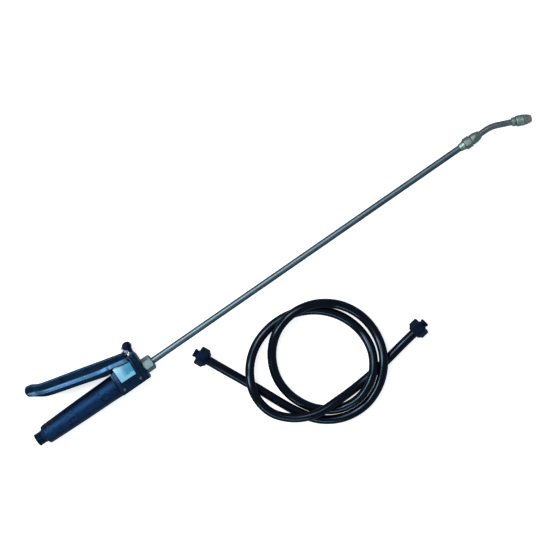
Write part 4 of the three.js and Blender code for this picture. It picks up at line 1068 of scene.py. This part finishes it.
def make_mouth_group():
    """Mask is 1 at the nozzle's mouth and breaks up towards the rear, where the plate holds."""
    group, _, out, place = new_group("worn_mouth", {}, ["Mask"])
    from_end = node(group, "VectorMath", {0: place, 1: nozzle_end}, operation="SUBTRACT")
    along = node(group, "VectorMath", {0: from_end.outputs[0], 1: nozzle_way},
                 operation="DOT_PRODUCT")
    noise = node(group, "TexNoise", {"Vector": place, "Scale": 380.0, "Detail": 4.0})
    reach = maths(group, "MULTIPLY_ADD", noise.outputs[0], 0.006, along.outputs["Value"])
    mask = node(group, "MapRange", {"Value": reach, "From Min": 0.0205, "From Max": 0.0225})
    group.links.new(mask.outputs[0], out.inputs["Mask"])
    return group


mouth = placed_group(cap_tree, make_mouth_group())
lay_colour(cap_tree, cap_shader, mouth.outputs["Mask"], (0.75, 0.58, 0.53))
give(nozzle_cap, worn_nickel, "nozzle", "nickel_brass", "nozzle_cap")

orifice = turned("brass_orifice", [
    (20.1, 0.6), (20.1, 3.3), (21.7, 3.3), (21.7, 2.4), (CAP_END + 0.1, 2.4),
    (CAP_END + 0.4, 2.0), (CAP_END + 0.4, 1.1), (CAP_END, 0.6)], 48, True)
soften(orifice, 0.1, 2)
seat(orifice, nozzle_end, nozzle_way)
give(orifice, turned_brass, "nozzle", "brass", "orifice_tip")

# ---- the surface and the light -----------------------------------------------------------------
# A plain white table that glows a little, to stay white, and is dark in reflections, so that round
# pieces keep dark sides. A broad box and a small key for the lever's rim hang at the upper left,
# one stands at the left, and a weak one at the foot lights the sides that face it.
bpy.ops.object.select_all(action="DESELECT")
bpy.ops.mesh.primitive_plane_add(size=40, location=(0, 0, -0.0002))
table = bpy.context.object
table.name = "table"
table_white, table_tree, table_shader = new_material("table_white", 0.0, Roughness=0.9)
mirrored = node(table_tree, "LightPath").outputs["Is Glossy Ray"]
table_tree.links.new(blend_colours(table_tree, mirrored, (0.93, 0.93, 0.93), (0.10, 0.13, 0.16)),
                     table_shader.inputs["Base Color"])
table_tree.links.new(blend_colours(table_tree, mirrored, (1.0, 1.0, 1.0), (0.10, 0.13, 0.16)),
                     table_shader.inputs["Emission Color"])
table_shader.inputs["Emission Strength"].default_value = 0.75
table.data.materials.append(table_white)


def soft_box(name, across, up, height, width, depth, power, colour):
    """A rectangular light, placed across, up and above the view's centre and facing it."""
    lamp_data = bpy.data.lights.new(name, "AREA")
    lamp_data.shape = "RECTANGLE"
    lamp_data.size, lamp_data.size_y = width, depth
    lamp_data.energy = power
    lamp_data.color = colour
    lamp = bpy.data.objects.new(name, lamp_data)
    bpy.context.scene.collection.objects.link(lamp)
    right = Vector((math.cos(LANCE_CLIMB), -math.sin(LANCE_CLIMB), 0))
    rise = Vector((math.sin(LANCE_CLIMB), math.cos(LANCE_CLIMB), 0))
    centre = Vector((*VIEW_CENTRE, 0))
    lamp.location = centre + right * across + rise * up + Vector((0, 0, height))
    lamp.rotation_euler = (lamp.location - centre).to_track_quat("Z", "Y").to_euler()
    lamp.visible_camera = False


soft_box("overhead", -0.80, 0.72, 2.00, 1.30, 1.30, 18, (0.90, 0.95, 1.0))
soft_box("key", -1.17, 0.87, 1.90, 0.45, 0.45, 9, (0.92, 0.97, 1.0))
soft_box("left", -1.20, -0.10, 1.40, 0.40, 0.80, 12, (0.86, 0.95, 1.0))
soft_box("foot", -0.25, -1.3, 1.0, 1.0, 0.25, 5, (0.80, 0.92, 1.0))
world = bpy.data.worlds.new("studio")
bpy.context.scene.world = world
world.use_nodes = True
world.node_tree.nodes["Background"].inputs["Color"].default_value = (0.72, 0.80, 0.88, 1)
world.node_tree.nodes["Background"].inputs["Strength"].default_value = 0.22

bpy.context.view_layer.update()
